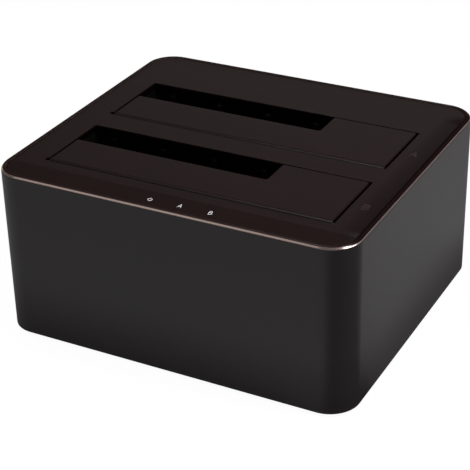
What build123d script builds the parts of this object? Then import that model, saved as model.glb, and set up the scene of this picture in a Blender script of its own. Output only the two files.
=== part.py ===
from build123d import *
from math import cos, pi, sin
import os

# Hard drive docking station: two drive bays under sprung, L-shaped flaps, in a rounded case sleeve.
# A large drive pushes a flap down and hangs it along the front of the bay. A small drive goes
# through the open slot that the flap leaves at the back left.
# Millimetres. +Z is up, the front faces -Y, and the origin lies under the middle of the case,
# on the surface that the rubber feet stand on.

os.makedirs("parts", exist_ok=True)

# Drives that the bays take
drive_width = 101.6
drive_thickness = 26.1
small_drive_width = 69.85
small_drive_thickness = 9.5
plug_from_side = 30.1
plug_from_back = 3.5

# Play round a drive
drive_side_play = 1.4
drive_front_play = 1.1
drive_back_play = 0.5
slot_thickness_play = 3.1

# Flaps and their hinges
flap_plate = 1.6
flap_depth = 2.8
flap_rib = 1.2
flap_corner = 0.8
barrel_radius = 1.6
hinge_gap = 0.4
flap_left_gap = 0.6
flap_right_gap = 1.0
flap_back_gap = 0.4
flap_pocket_columns = 5
stop_lug_width = 6.0
stop_lug_thickness = 1.2
stop_lug_root = 2.5
stop_lug_reach = 1.2
stop_lug_gap = 0.3
pin_radius = 0.6
pin_fit = 0.05
pin_reach = 5.5
pin_end_play = 0.3

# Flap springs
spring_wire_radius = 0.12
spring_coil_radius = 1.0
spring_turns = 4
spring_pitch = 0.5
spring_sides = 8
spring_notch_radius = 1.2
spring_notch_width = 4.0
spring_leg = 5.5
spring_leg_play = 0.3

# Case
wall = 2.6
rim_wall = 1.7
rim_bevel = 0.9
rim_inner_bevel = 0.2
corner_radius = 10.5
insertion_depth = 45.55
foot_drop = 1.0
overrun = 1.0

# Top cover
cover_thickness = 2.4
cover_sink = 0.25
cover_gap = 0.3
cover_edge = 0.3
opening_corner = 0.5
corner_relief_radius = 1.0
corner_relief_inset = 0.9
slope_drop = 1.2
slope_run = 10.4
skirt_wall = 1.2
skirt_height = 2.5
skirt_gap = 0.3
post_radius = 3.2
post_side_gap = 3.2
post_front_gap = 2.7
post_well_gap = 1.3
hinge_boss_length = 7.0
hinge_boss_width = 5.4
hinge_boss_height = 1.8
boss_clearance = 0.3

# Bay wells
well_wall = 1.5
well_floor_thickness = 1.6
well_front_relief = 0.8
well_back_relief = 1.8
well_gap = 4.6
well_top_gap = 0.1
rib_width = 2.0
rib_lead = 2.0
rib_lug_clearance = 14.0
slot_rib_shares = (0.1, 0.37, 0.64, 0.9)
flap_rib_shares = (0.25, 0.75)
floor_vent_length = 14.0
floor_vent_width = 2.4
floor_vent_pitch = 5.5
floor_vent_inset = 14.0
floor_vent_rows = 4
floor_vent_spacing = 21.0
floor_vent_columns = 3
side_space = 8.2
leg_size = 4.0
leg_shares = (0.45, 0.85)

# Icons on the sloping band and the light guide below them
icon_from_front = 5.8
icon_first_x = -6.7
icon_pitch = 10.8
icon_count = 3
window_skin = 0.5
guide_size = 2.0
guide_fit = 0.05
guide_end_gap = 0.2
guide_socket_wall = 1.0
guide_socket_depth = 4.0
guide_bar_height = 2.4
guide_bar_width = 1.6
guide_bar_drop = 16.0

# Circuit board
board_thickness = 1.6
board_gap = 1.6
board_post_clearance = 1.0
standoff_height = 3.0
standoff_size = 5.6
board_hole_inset_x = 10.3
board_hole_inset_y = 14.8
board_hole_radius = 1.5

# Drive sockets
socket_length = 43.0
socket_width = 7.6
socket_base_height = 5.0
socket_height = 11.0
socket_stand = 3.4
socket_corner = 0.8
nose_length = 36.8
nose_width = 5.2
nose_bevel = 0.5
nose_floor_gap = 0.6
socket_slot_depth = 4.6
socket_slot_gap = 1.3
socket_key = 2.4
power_slot_length = 20.7
signal_slot_length = 10.6
slot_spacing = 2.2
contact_pitch = 1.27
contact_width = 0.7
contact_thickness = 0.2
contact_height = 3.8
signal_contacts = 7
power_contacts = 15

# Components on the board
chip_size = 10.0
chip_height = 1.1
chip_spacing = 34.0
capacitor_radius = 4.0
capacitor_height = 10.5
capacitor_pitch = 9.5
capacitor_first_x = 10.0
inductor_size = 6.6
inductor_height = 4.0
inductor_post_gap = 7.0
inductor_pitch = 9.0
diode_length = 3.2
diode_width = 1.6
diode_height = 1.1

# Base
base_thickness = 2.0
base_gap = 0.25
base_rib_height = 2.3
base_rib_wall = 1.2
base_rib_gap = 0.3
base_boss_radius = 4.3
base_boss_height = 1.8
base_post_gap = 0.1
base_vent_length = 22.0
base_vent_width = 2.2
base_vent_pitch = 6.0
base_vent_rows = 7
base_vent_spread = 40.0
foot_radius = 5.5
foot_inset = 15.0

# Screws
screw_radius = 1.25
shank_sides = 6
screw_fit = 0.05
screw_head_radius = 2.4
screw_head_height = 1.4
screw_head_gap = 0.5
base_screw_length = 9.0
board_screw_length = 5.2
pilot_end_gap = 0.4

# Inlets, button and the panel round them
port_depth = 18.0
port_gap = 5.6
panel_width = 90.0
panel_height = 18.6
panel_corner = 1.6
panel_rise = 0.9
panel_recess = 0.5
panel_thickness = 1.6
panel_rim = 3.2
panel_fit = 0.2
flange_thickness = 0.9
flange_reach = 1.4
flange_gap = 0.1
usb_x = -8.0
usb_width = 12.2
usb_height = 12.8
usb_corner = 0.8
usb_lower_width = 8.6
usb_lower_height = 7.9
usb_upper_width = 5.8
usb_upper_height = 3.0
usb_bevel = 1.6
usb_floor = 1.0
usb_cavity = 10.0
usb_tongue_width = 5.6
usb_tongue_height = 3.2
usb_tongue_length = 8.6
usb_blade_height = 1.0
port_fit = 0.2
jack_x = -31.0
jack_width = 9.2
jack_height = 11.0
jack_body_depth = 14.2
jack_nose_radius = 4.3
jack_bore_radius = 3.2
jack_bore_depth = 9.8
jack_pin_radius = 1.0
jack_pin_length = 9.0
button_x = 32.0
button_radius = 4.0
button_fit = 0.25
button_collar_radius = 5.0
button_collar_thickness = 1.2
button_edge = 0.4
button_travel = 2.0
button_dish_radius = 3.0
button_dish_depth = 0.5
switch_width = 8.5
switch_height = 11.0
switch_depth = 8.0
plunger_size = 2.6
plunger_hidden = 1.0
plunger_play = 0.3
button_spring_radius = 2.5
button_spring_growth = 0.5
button_spring_wire_radius = 0.2
button_spring_turns = 3
button_spring_play = 0.15

# Bays and bands, front to back and side to side
bay_shift = 0.4
bay_width = drive_width + 2 * drive_side_play
bay_depth = hinge_gap + 2 * barrel_radius + drive_thickness + drive_front_play
slot_width = small_drive_width + 2 * drive_side_play
slot_depth = small_drive_thickness + slot_thickness_play
side_band = wall + side_space + well_wall
front_band = wall + post_front_gap + 2 * post_radius + post_well_gap + well_wall + well_front_relief
bridge_band = well_front_relief + 2 * well_wall + well_gap + well_back_relief
rear_band = well_back_relief + well_wall + port_gap + port_depth
case_width = bay_width + 2 * side_band
case_depth = front_band + 2 * bay_depth + bridge_band + rear_band
case_front = -case_depth / 2
case_back = case_depth / 2

bay_left = bay_shift - bay_width / 2
bay_right = bay_shift + bay_width / 2
slot_right = bay_left + slot_width
bay_b_front = case_front + front_band
bay_a_front = bay_b_front + bay_depth + bridge_band
bays = {"a": bay_a_front, "b": bay_b_front}

# Levels, from the feet up
case_bottom = foot_drop
base_top = case_bottom + base_thickness
board_bottom = base_top + standoff_height
board_top = board_bottom + board_thickness
socket_top = board_top + socket_height
well_floor = socket_top - socket_stand
cover_top = well_floor + insertion_depth
case_top = cover_top + cover_sink
case_height = case_top - case_bottom
cover_underside = cover_top - cover_thickness
well_top = cover_underside - well_top_gap
axis_z = cover_top - barrel_radius

# Inside of the sleeve
inner_width = case_width - 2 * wall
inner_depth = case_depth - 2 * wall
inner_corner = corner_radius - wall
rim_width = case_width - 2 * rim_wall
rim_depth = case_depth - 2 * rim_wall
rim_corner = corner_radius - rim_wall
inner_back = inner_depth / 2

# Places that several pieces share
post_x = inner_width / 2 - post_side_gap - post_radius
post_y = inner_depth / 2 - post_front_gap - post_radius
board_half_x = inner_width / 2 - board_gap
board_half_y = inner_depth / 2 - board_gap
board_hole_x = board_half_x - board_hole_inset_x
board_hole_y = board_half_y - board_hole_inset_y
foot_x = inner_width / 2 - foot_inset
foot_y = inner_depth / 2 - foot_radius - base_rib_gap - base_rib_wall
plug_x = bay_left + drive_side_play + plug_from_side
icon_y = case_front + icon_from_front
guide_socket = guide_size + 2 * guide_fit + 2 * guide_socket_wall
icon_xs = [icon_first_x + icon_pitch * step for step in range(icon_count)]
panel_bottom = base_top + panel_rise
panel_middle = panel_bottom + panel_height / 2
panel_face = case_back - panel_recess
usb_middle = board_top + usb_height / 2
jack_middle = board_top + jack_height / 2
button_middle = board_top + switch_height / 2
diode_top = board_top + diode_height


def slope_level(y):
    """Height of the top cover's surface on the sloping front band."""
    crease = case_front + slope_run
    return cover_top - slope_drop * (crease - y) / slope_run


def hinge_axis(front):
    """Y of the hinge axis of the bay whose opening starts at front."""
    return front + hinge_gap + barrel_radius


def spring_middle():
    """X of the middle of the flap spring, in the flap's second pocket from the right."""
    left = bay_left + flap_left_gap + flap_rib
    right = bay_right - flap_right_gap - flap_rib
    pitch = (right - left + flap_rib) / flap_pocket_columns
    return right - pitch - (pitch - flap_rib) / 2


def save(piece, name):
    """Label a finished piece and write it under its node's name."""
    piece.part.label = name
    export_step(piece.part, f"parts/{name}.step")


# Sleeve: a tube with rounded corners, a bevelled rim, a seat for the cover at the top and one
# for the base at the bottom, and a window for the rear panel.
with BuildPart() as outer_sleeve:
    with BuildSketch(Plane.XY.offset(case_bottom)):
        RectangleRounded(case_width, case_depth, corner_radius)
    extrude(amount=case_height)
    chamfer(outer_sleeve.faces().sort_by(Axis.Z)[-1].edges(), rim_bevel)
    with BuildSketch(Plane.XY.offset(case_bottom)):
        RectangleRounded(inner_width, inner_depth, inner_corner)
    extrude(amount=case_height, mode=Mode.SUBTRACT)
    with BuildSketch(Plane.XY.offset(case_top)):
        RectangleRounded(rim_width, rim_depth, rim_corner)
    extrude(amount=-(cover_sink + cover_thickness), mode=Mode.SUBTRACT)
    chamfer(outer_sleeve.faces().sort_by(Axis.Z)[-1].inner_wires()[0].edges(), rim_inner_bevel)
    with BuildSketch(Plane.XY.offset(case_bottom)):
        RectangleRounded(rim_width, rim_depth, rim_corner)
    extrude(amount=base_thickness, mode=Mode.SUBTRACT)
    with BuildSketch(Plane.XZ.offset(-case_back - overrun)):
        with Locations((0, panel_middle)):
            RectangleRounded(panel_width, panel_height, panel_corner)
    extrude(amount=wall + 2 * overrun, mode=Mode.SUBTRACT)
save(outer_sleeve, "outer_sleeve")

# Top cover: the plate in the rim, with the bay openings, the sloping band, a skirt inside the
# sleeve, screw posts down to the base, hinge bosses beside each bay and sockets for the light guide.
with BuildPart() as top_cover:
    with BuildSketch(Plane.XY.offset(cover_underside)):
        RectangleRounded(rim_width - 2 * cover_gap, rim_depth - 2 * cover_gap, rim_corner - cover_gap)
        for front in bays.values():
            with Locations((bay_shift, front + bay_depth / 2)):
                RectangleRounded(bay_width, bay_depth, opening_corner, mode=Mode.SUBTRACT)
    extrude(amount=cover_thickness)
    chamfer(top_cover.faces().sort_by(Axis.Z)[-1].outer_wire().edges(), cover_edge)
    with BuildSketch(Plane.YZ):
        with BuildLine():
            Polyline(
                (case_front + slope_run, cover_top),
                (case_front, cover_top - slope_drop),
                (case_front, case_top + overrun),
                (case_front + slope_run, case_top + overrun),
                close=True,
            )
        make_face()
    extrude(amount=case_width / 2, both=True, mode=Mode.SUBTRACT)
    with BuildSketch(Plane.XY.offset(cover_underside)):
        RectangleRounded(inner_width - 2 * skirt_gap, inner_depth - 2 * skirt_gap, inner_corner - skirt_gap)
        RectangleRounded(
            inner_width - 2 * skirt_gap - 2 * skirt_wall,
            inner_depth - 2 * skirt_gap - 2 * skirt_wall,
            inner_corner - skirt_gap - skirt_wall,
            mode=Mode.SUBTRACT,
        )
    extrude(amount=-skirt_height)
    with BuildSketch(Plane.XY.offset(cover_underside)):
        with GridLocations(2 * post_x, 2 * post_y, 2, 2):
            Circle(post_radius)
    extrude(amount=-(cover_underside - base_top - base_boss_height - base_post_gap))
    with BuildSketch(Plane.XY.offset(base_top + base_boss_height)):
        with GridLocations(2 * post_x, 2 * post_y, 2, 2):
            Circle(screw_radius + screw_fit)
    extrude(amount=base_screw_length + pilot_end_gap, mode=Mode.SUBTRACT)
    with BuildSketch(Plane.XY.offset(cover_underside)):
        for front in bays.values():
            for side_edge, way in ((bay_left, -1), (bay_right, 1)):
                with Locations((side_edge + way * hinge_boss_length / 2, hinge_axis(front))):
                    Rectangle(hinge_boss_length, hinge_boss_width)
    extrude(amount=-hinge_boss_height)
    with BuildSketch(Plane.YZ.offset(bay_left - pin_reach - pin_end_play)):
        with Locations(*[(hinge_axis(front), axis_z) for front in bays.values()]):
            Circle(pin_radius + pin_fit)
    extrude(amount=bay_width + 2 * pin_reach + 2 * pin_end_play, mode=Mode.SUBTRACT)
    with BuildSketch(Plane.XY.offset(cover_underside)):
        with Locations(*[(bay_left, front + corner_relief_inset) for front in bays.values()]):
            Circle(corner_relief_radius)
    extrude(amount=cover_thickness + overrun, mode=Mode.SUBTRACT)
    with BuildSketch(Plane.XY.offset(cover_underside)):
        with Locations(*[(x, icon_y) for x in icon_xs]):
            Rectangle(guide_socket, guide_socket)
    extrude(amount=-guide_socket_depth)
    with BuildSketch(Plane.XY.offset(cover_underside - guide_socket_depth)):
        with Locations(*[(x, icon_y) for x in icon_xs]):
            Rectangle(guide_size + 2 * guide_fit, guide_size + 2 * guide_fit)
    guide_bore = slope_level(icon_y - guide_size / 2) - window_skin - cover_underside + guide_socket_depth
    extrude(amount=guide_bore, mode=Mode.SUBTRACT)
save(top_cover, "top_cover")


def build_door(front):
    """L-shaped flap: hinge barrel along the front, hollow underside with ribs, two stop lugs."""
    back = front + bay_depth
    axis_y = hinge_axis(front)
    left = bay_left + flap_left_gap
    right = bay_right - flap_right_gap
    door_back = back - flap_back_gap
    strip_back = back - slot_depth
    pocket_front = axis_y + barrel_radius
    with BuildPart() as door:
        with BuildSketch(Plane.XY.offset(cover_top - flap_depth)):
            with BuildLine():
                Polyline(
                    (left, axis_y),
                    (right, axis_y),
                    (right, door_back),
                    (slot_right, door_back),
                    (slot_right, strip_back),
                    (left, strip_back),
                    close=True,
                )
            outline = make_face()
            fillet(outline.vertices().group_by(Axis.Y)[1:], flap_corner)
        extrude(amount=flap_depth)
        top_edges = door.faces().sort_by(Axis.Z)[-1].edges().filter_by(Axis.X)
        chamfer(top_edges.sort_by(Axis.Y)[1:], cover_edge)
        with BuildSketch(Plane.YZ.offset(left)):
            with Locations((axis_y, axis_z)):
                Circle(barrel_radius)
        extrude(amount=right - left)
        # Hollow underside: pockets between ribs, in the front strip and in the deep right part
        with BuildSketch(Plane.XY.offset(cover_top - flap_depth)):
            inner_left = left + flap_rib
            inner_right = right - flap_rib
            column = (inner_right - inner_left + flap_rib) / flap_pocket_columns
            for step in range(flap_pocket_columns):
                middle = inner_left + (column - flap_rib) / 2 + step * column
                with Locations((middle, (pocket_front + strip_back - flap_rib) / 2)):
                    Rectangle(column - flap_rib, strip_back - flap_rib - pocket_front)
            deep_left = slot_right + flap_rib
            with Locations(((deep_left + inner_right) / 2, (strip_back + door_back - stop_lug_root) / 2)):
                Rectangle(inner_right - deep_left, door_back - stop_lug_root - strip_back)
        extrude(amount=flap_depth - flap_plate, mode=Mode.SUBTRACT)
        # Stop lugs under the back edge catch the cover from below when the flap is shut
        lug_top = cover_underside - stop_lug_gap
        with BuildSketch(Plane.XY.offset(lug_top)):
            for share in flap_rib_shares:
                lug_x = slot_right + share * (right - slot_right)
                with Locations((lug_x, door_back - stop_lug_root / 2)):
                    Rectangle(stop_lug_width, stop_lug_root)
        extrude(amount=cover_top - flap_plate - lug_top)
        with BuildSketch(Plane.XY.offset(lug_top - stop_lug_thickness)):
            for share in flap_rib_shares:
                lug_x = slot_right + share * (right - slot_right)
                lug_end = back + stop_lug_reach
                with Locations((lug_x, (door_back - stop_lug_root + lug_end) / 2)):
                    Rectangle(stop_lug_width, lug_end - door_back + stop_lug_root)
        extrude(amount=stop_lug_thickness)
        # Pin bore, and the notch under the barrel that the spring lies in
        with BuildSketch(Plane.YZ.offset(left)):
            with Locations((axis_y, axis_z)):
                Circle(pin_radius + pin_fit)
        extrude(amount=right - left, mode=Mode.SUBTRACT)
        with BuildSketch(Plane.YZ.offset(spring_middle() - spring_notch_width / 2)):
            with Locations((axis_y, axis_z)):
                Circle(spring_notch_radius)
            with Locations((axis_y, axis_z - barrel_radius / 2)):
                Rectangle(2 * barrel_radius, barrel_radius)
        extrude(amount=spring_notch_width, mode=Mode.SUBTRACT)
    return door


def build_hinge_pin(front):
    """Steel pin through the flap's barrel into the bosses on both sides."""
    with BuildPart() as hinge_pin:
        with BuildSketch(Plane.YZ.offset(bay_left - pin_reach)):
            with Locations((hinge_axis(front), axis_z)):
                Circle(pin_radius)
        extrude(amount=bay_width + 2 * pin_reach)
    return hinge_pin


def build_door_spring(front):
    """Torsion spring of square wire round the hinge pin: one leg under the flap, one under the cover."""
    axis_y = hinge_axis(front)
    start_x = spring_middle() - spring_turns * spring_pitch / 2
    end_x = start_x + spring_turns * spring_pitch
    leg_z = axis_z - spring_coil_radius
    route = [(start_x, axis_y - spring_leg, leg_z)]
    for step in range(spring_turns * spring_sides + 1):
        angle = 2 * pi * step / spring_sides
        route.append(
            (
                start_x + spring_pitch * step / spring_sides,
                axis_y + spring_coil_radius * sin(angle),
                axis_z - spring_coil_radius * cos(angle),
            )
        )
    route.append((end_x, axis_y + spring_leg, leg_z))
    with BuildPart() as door_spring:
        with BuildLine() as wire:
            Polyline(*route)
        with BuildSketch(Plane(origin=route[0], x_dir=(1, 0, 0), z_dir=(0, 1, 0))):
            Rectangle(2 * spring_wire_radius, 2 * spring_wire_radius)
        sweep(path=wire.line, transition=Transition.RIGHT)
    return door_spring


def build_bay_well(front):
    """Chute below one bay opening: walls, guide ribs, vented floor, legs on the board, spring notch."""
    back = front + bay_depth
    axis_y = hinge_axis(front)
    low_y = front - well_front_relief - well_wall
    high_y = back + well_back_relief + well_wall
    with BuildPart() as bay_well:
        with BuildSketch(Plane.XY.offset(well_floor - well_floor_thickness)):
            with Locations((bay_shift, (low_y + high_y) / 2)):
                Rectangle(bay_width + 2 * well_wall, high_y - low_y)
        extrude(amount=well_top - well_floor + well_floor_thickness)
        with BuildSketch(Plane.XY.offset(board_top)):
            for share in leg_shares:
                with Locations((bay_shift, front + share * bay_depth)):
                    with GridLocations(bay_width + 2 * well_wall - leg_size, 0, 2, 1):
                        Rectangle(leg_size, leg_size)
        extrude(amount=well_floor - well_floor_thickness - board_top)
        with BuildSketch(Plane.XY.offset(well_floor)):
            with Locations((bay_shift, (low_y + high_y) / 2)):
                Rectangle(bay_width, high_y - low_y - 2 * well_wall)
        extrude(amount=insertion_depth, mode=Mode.SUBTRACT)
        # Guide ribs on the back wall, the right ones short so that the flap's lugs swing past
        rib_tops = [(bay_left + share * slot_width, well_top) for share in slot_rib_shares]
        for share in flap_rib_shares:
            rib_tops.append((slot_right + share * (bay_right - slot_right), well_top - rib_lug_clearance))
        for rib_x, rib_top in rib_tops:
            with BuildSketch(Plane.YZ.offset(rib_x - rib_width / 2)):
                with BuildLine():
                    Polyline(
                        (back + well_back_relief, well_floor),
                        (back, well_floor),
                        (back, rib_top - rib_lead),
                        (back + well_back_relief, rib_top),
                        close=True,
                    )
                make_face()
            extrude(amount=rib_width)
        # Notch in the front wall that the fixed leg of the flap spring crosses
        leg_x = spring_middle() - spring_turns * spring_pitch / 2
        with BuildSketch(Plane.XY.offset(well_top)):
            with Locations((leg_x, front - well_front_relief - well_wall / 2)):
                Rectangle(2 * spring_wire_radius + 2 * spring_leg_play, well_wall)
        leg_level = axis_z - spring_coil_radius - spring_wire_radius - spring_leg_play
        extrude(amount=leg_level - well_top, mode=Mode.SUBTRACT)
        # Way through the floor for the drive socket, and air slots on both sides of it
        with BuildSketch(Plane.XY.offset(well_floor)):
            with Locations((plug_x, back - drive_back_play - plug_from_back)):
                Rectangle(nose_length + 2 * nose_floor_gap, nose_width + 2 * nose_floor_gap)
            with Locations((bay_right - floor_vent_inset, (front + back) / 2)):
                with GridLocations(0, floor_vent_pitch, 1, floor_vent_rows):
                    Rectangle(floor_vent_length, floor_vent_width)
            with Locations((plug_x, front + slot_depth / 2)):
                with GridLocations(floor_vent_spacing, 0, floor_vent_columns, 1):
                    Rectangle(floor_vent_length, floor_vent_width)
        extrude(amount=-well_floor_thickness, mode=Mode.SUBTRACT)
        # Notches in the side walls for the hinge bosses
        with BuildSketch(Plane.XY.offset(cover_underside - hinge_boss_height - boss_clearance)):
            with Locations((bay_shift, axis_y)):
                Rectangle(bay_width + 2 * well_wall + overrun, hinge_boss_width + 2 * boss_clearance)
        extrude(amount=cover_thickness + hinge_boss_height, mode=Mode.SUBTRACT)
    return bay_well


def build_sata_socket(plug_y):
    """Upright drive socket: a base on the board and a nose with the two keyed slots."""
    power_x = plug_x + (signal_slot_length + slot_spacing) / 2
    signal_x = plug_x - (power_slot_length + slot_spacing) / 2
    with BuildPart() as sata_socket:
        with BuildSketch(Plane.XY.offset(board_top)):
            with Locations((plug_x, plug_y)):
                RectangleRounded(socket_length, socket_width, socket_corner)
        extrude(amount=socket_base_height)
        with BuildSketch(Plane.XY.offset(board_top)):
            with Locations((plug_x, plug_y)):
                Rectangle(nose_length, nose_width)
        extrude(amount=socket_height)
        chamfer(sata_socket.faces().sort_by(Axis.Z)[-1].edges(), nose_bevel)
        with BuildSketch(Plane.XY.offset(socket_top)):
            for middle, length in ((power_x, power_slot_length), (signal_x, signal_slot_length)):
                with Locations((middle, plug_y)):
                    Rectangle(length, socket_slot_gap)
                key_x = middle - (length - socket_slot_gap) / 2
                key_y = plug_y + (socket_slot_gap - socket_key) / 2
                with Locations((key_x, key_y)):
                    Rectangle(socket_slot_gap, socket_key)
        extrude(amount=-socket_slot_depth, mode=Mode.SUBTRACT)
    return sata_socket


def build_sata_contacts(plug_y):
    """Contact blades along the back wall of the two slots."""
    power_x = plug_x + (signal_slot_length + slot_spacing) / 2
    signal_x = plug_x - (power_slot_length + slot_spacing) / 2
    blade_y = plug_y + socket_slot_gap / 2 - contact_thickness / 2
    with BuildPart() as sata_contacts:
        with BuildSketch(Plane.XY.offset(socket_top - socket_slot_depth)):
            for middle, count in ((power_x, power_contacts), (signal_x, signal_contacts)):
                with Locations((middle, blade_y)):
                    with GridLocations(contact_pitch, 0, count, 1):
                        Rectangle(contact_width, contact_thickness)
        extrude(amount=contact_height)
    return sata_contacts


for bay, bay_front in bays.items():
    bay_plug_y = bay_front + bay_depth - drive_back_play - plug_from_back
    save(build_door(bay_front), f"door_{bay}")
    save(build_hinge_pin(bay_front), f"hinge_pin_{bay}")
    save(build_door_spring(bay_front), f"door_spring_{bay}")
    save(build_bay_well(bay_front), f"bay_well_{bay}")
    save(build_sata_socket(bay_plug_y), f"sata_socket_{bay}")
    save(build_sata_contacts(bay_plug_y), f"sata_contacts_{bay}")

# Main board, with its corners cut back round the cover's posts
with BuildPart() as main_board:
    with BuildSketch(Plane.XY.offset(board_bottom)):
        Rectangle(2 * board_half_x, 2 * board_half_y)
        corner_cut = post_radius + board_post_clearance
        with GridLocations(2 * board_half_x, 2 * board_half_y, 2, 2):
            Rectangle(
                2 * (board_half_x - post_x + corner_cut),
                2 * (board_half_y - post_y + corner_cut),
                mode=Mode.SUBTRACT,
            )
        with GridLocations(2 * board_hole_x, 2 * board_hole_y, 2, 2):
            Circle(board_hole_radius, mode=Mode.SUBTRACT)
    extrude(amount=board_thickness)
save(main_board, "main_board")

# Controller chips, between the drive sockets and below the wells
with BuildPart() as controller_chips:
    with BuildSketch(Plane.XY.offset(board_top)):
        with Locations((plug_x + chip_spacing, bay_a_front), (plug_x + chip_spacing, bay_b_front)):
            Rectangle(chip_size, chip_size)
    extrude(amount=chip_height)
save(controller_chips, "controller_chips")

# Electrolytic capacitors behind the back bay
with BuildPart() as capacitors:
    with BuildSketch(Plane.XY.offset(board_top)):
        with Locations(
            (capacitor_first_x, case_back - port_depth + capacitor_radius),
            (capacitor_first_x + capacitor_pitch, case_back - port_depth + capacitor_radius),
        ):
            Circle(capacitor_radius)
    extrude(amount=capacitor_height)
save(capacitors, "capacitors")

# Power inductors at the front left of the board
inductor_x = post_radius - post_x + inductor_post_gap + inductor_size / 2
with BuildPart() as inductors:
    with BuildSketch(Plane.XY.offset(board_top)):
        with Locations(
            (inductor_x, inductor_size / 2 - board_half_y),
            (inductor_x + inductor_pitch, inductor_size / 2 - board_half_y),
        ):
            Rectangle(inductor_size, inductor_size)
    extrude(amount=inductor_height)
save(inductors, "inductors")

# Light diodes below the light guide
with BuildPart() as status_leds:
    with BuildSketch(Plane.XY.offset(board_top)):
        with Locations(*[(x, icon_y) for x in icon_xs]):
            Rectangle(diode_length, diode_width)
    extrude(amount=diode_height)
save(status_leds, "status_leds")

# Light guide: clear square rods joined by a bar, held in the sockets under the cover
with BuildPart() as light_pipe:
    with BuildSketch(Plane.XY.offset(diode_top + guide_end_gap)):
        with Locations(*[(x, icon_y) for x in icon_xs]):
            Rectangle(guide_size, guide_size)
    guide_top = slope_level(icon_y - guide_size / 2) - window_skin - guide_end_gap
    extrude(amount=guide_top - diode_top - guide_end_gap)
    with BuildSketch(Plane.XY.offset(cover_underside - guide_bar_drop)):
        with Locations(((icon_xs[0] + icon_xs[-1]) / 2, icon_y)):
            Rectangle(icon_xs[-1] - icon_xs[0], guide_bar_width)
    extrude(amount=guide_bar_height)
save(light_pipe, "light_pipe")

# Base: a plate in the bottom of the sleeve with air slots, board standoffs,
# raised cups for the case screws and a rib that centres it in the sleeve.
with BuildPart() as base_plate:
    with BuildSketch(Plane.XY.offset(case_bottom)):
        RectangleRounded(rim_width - 2 * base_gap, rim_depth - 2 * base_gap, rim_corner - base_gap)
    extrude(amount=base_thickness)
    with BuildSketch(Plane.XY.offset(base_top)):
        RectangleRounded(
            inner_width - 2 * base_rib_gap,
            inner_depth - 2 * base_rib_gap,
            inner_corner - base_rib_gap,
        )
        RectangleRounded(
            inner_width - 2 * base_rib_gap - 2 * base_rib_wall,
            inner_depth - 2 * base_rib_gap - 2 * base_rib_wall,
            inner_corner - base_rib_gap - base_rib_wall,
            mode=Mode.SUBTRACT,
        )
    extrude(amount=base_rib_height)
    with BuildSketch(Plane.XY.offset(base_top)):
        with Locations((0, inner_back - base_rib_gap - base_rib_wall / 2)):
            Rectangle(panel_width + 2 * flange_reach + 2 * panel_fit, base_rib_wall + overrun)
    extrude(amount=base_rib_height, mode=Mode.SUBTRACT)
    with BuildSketch(Plane.XY.offset(base_top)):
        with GridLocations(2 * board_hole_x, 2 * board_hole_y, 2, 2):
            Rectangle(standoff_size, standoff_size)
    extrude(amount=standoff_height)
    with BuildSketch(Plane.XY.offset(base_top)):
        with GridLocations(2 * post_x, 2 * post_y, 2, 2):
            Circle(base_boss_radius)
    extrude(amount=base_boss_height)
    with BuildSketch(Plane.XY.offset(board_bottom)):
        with GridLocations(2 * board_hole_x, 2 * board_hole_y, 2, 2):
            Circle(screw_radius + screw_fit)
    extrude(amount=-(board_screw_length - board_thickness + pilot_end_gap), mode=Mode.SUBTRACT)
    with BuildSketch(Plane.XY.offset(case_bottom)):
        with GridLocations(2 * post_x, 2 * post_y, 2, 2):
            Circle(screw_head_radius + screw_head_gap)
    extrude(amount=screw_head_height + screw_head_gap, mode=Mode.SUBTRACT)
    with BuildSketch(Plane.XY.offset(case_bottom)):
        with GridLocations(2 * post_x, 2 * post_y, 2, 2):
            Circle(screw_radius + screw_head_gap)
    extrude(amount=base_thickness + base_boss_height, mode=Mode.SUBTRACT)
    with BuildSketch(Plane.XY.offset(case_bottom)):
        with GridLocations(base_vent_spread, base_vent_pitch, 2, base_vent_rows):
            Rectangle(base_vent_length, base_vent_width)
    extrude(amount=base_thickness, mode=Mode.SUBTRACT)
save(base_plate, "base_plate")

# Rubber feet, stuck on below the base
with BuildPart() as rubber_feet:
    with BuildSketch():
        with GridLocations(2 * foot_x, 2 * foot_y, 2, 2):
            Circle(foot_radius)
    extrude(amount=foot_drop)
save(rubber_feet, "rubber_feet")

# Case screws, from below through the base into the cover's posts
screw_seat = case_bottom + screw_head_height + screw_head_gap
with BuildPart() as base_screws:
    with BuildSketch(Plane.XY.offset(screw_seat)):
        with GridLocations(2 * post_x, 2 * post_y, 2, 2):
            Circle(screw_head_radius)
    extrude(amount=-screw_head_height)
    with BuildSketch(Plane.XY.offset(screw_seat)):
        with GridLocations(2 * post_x, 2 * post_y, 2, 2):
            RegularPolygon(screw_radius, shank_sides)
    extrude(amount=base_top + base_boss_height - screw_seat + base_screw_length)
save(base_screws, "base_screws")

# Board screws with hexagon heads, from above into the standoffs
with BuildPart() as board_screws:
    with BuildSketch(Plane.XY.offset(board_top)):
        with GridLocations(2 * board_hole_x, 2 * board_hole_y, 2, 2):
            RegularPolygon(screw_head_radius, shank_sides)
    extrude(amount=screw_head_height)
    with BuildSketch(Plane.XY.offset(board_top)):
        with GridLocations(2 * board_hole_x, 2 * board_hole_y, 2, 2):
            RegularPolygon(screw_radius, shank_sides)
    extrude(amount=-board_screw_length)
save(board_screws, "board_screws")

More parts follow.
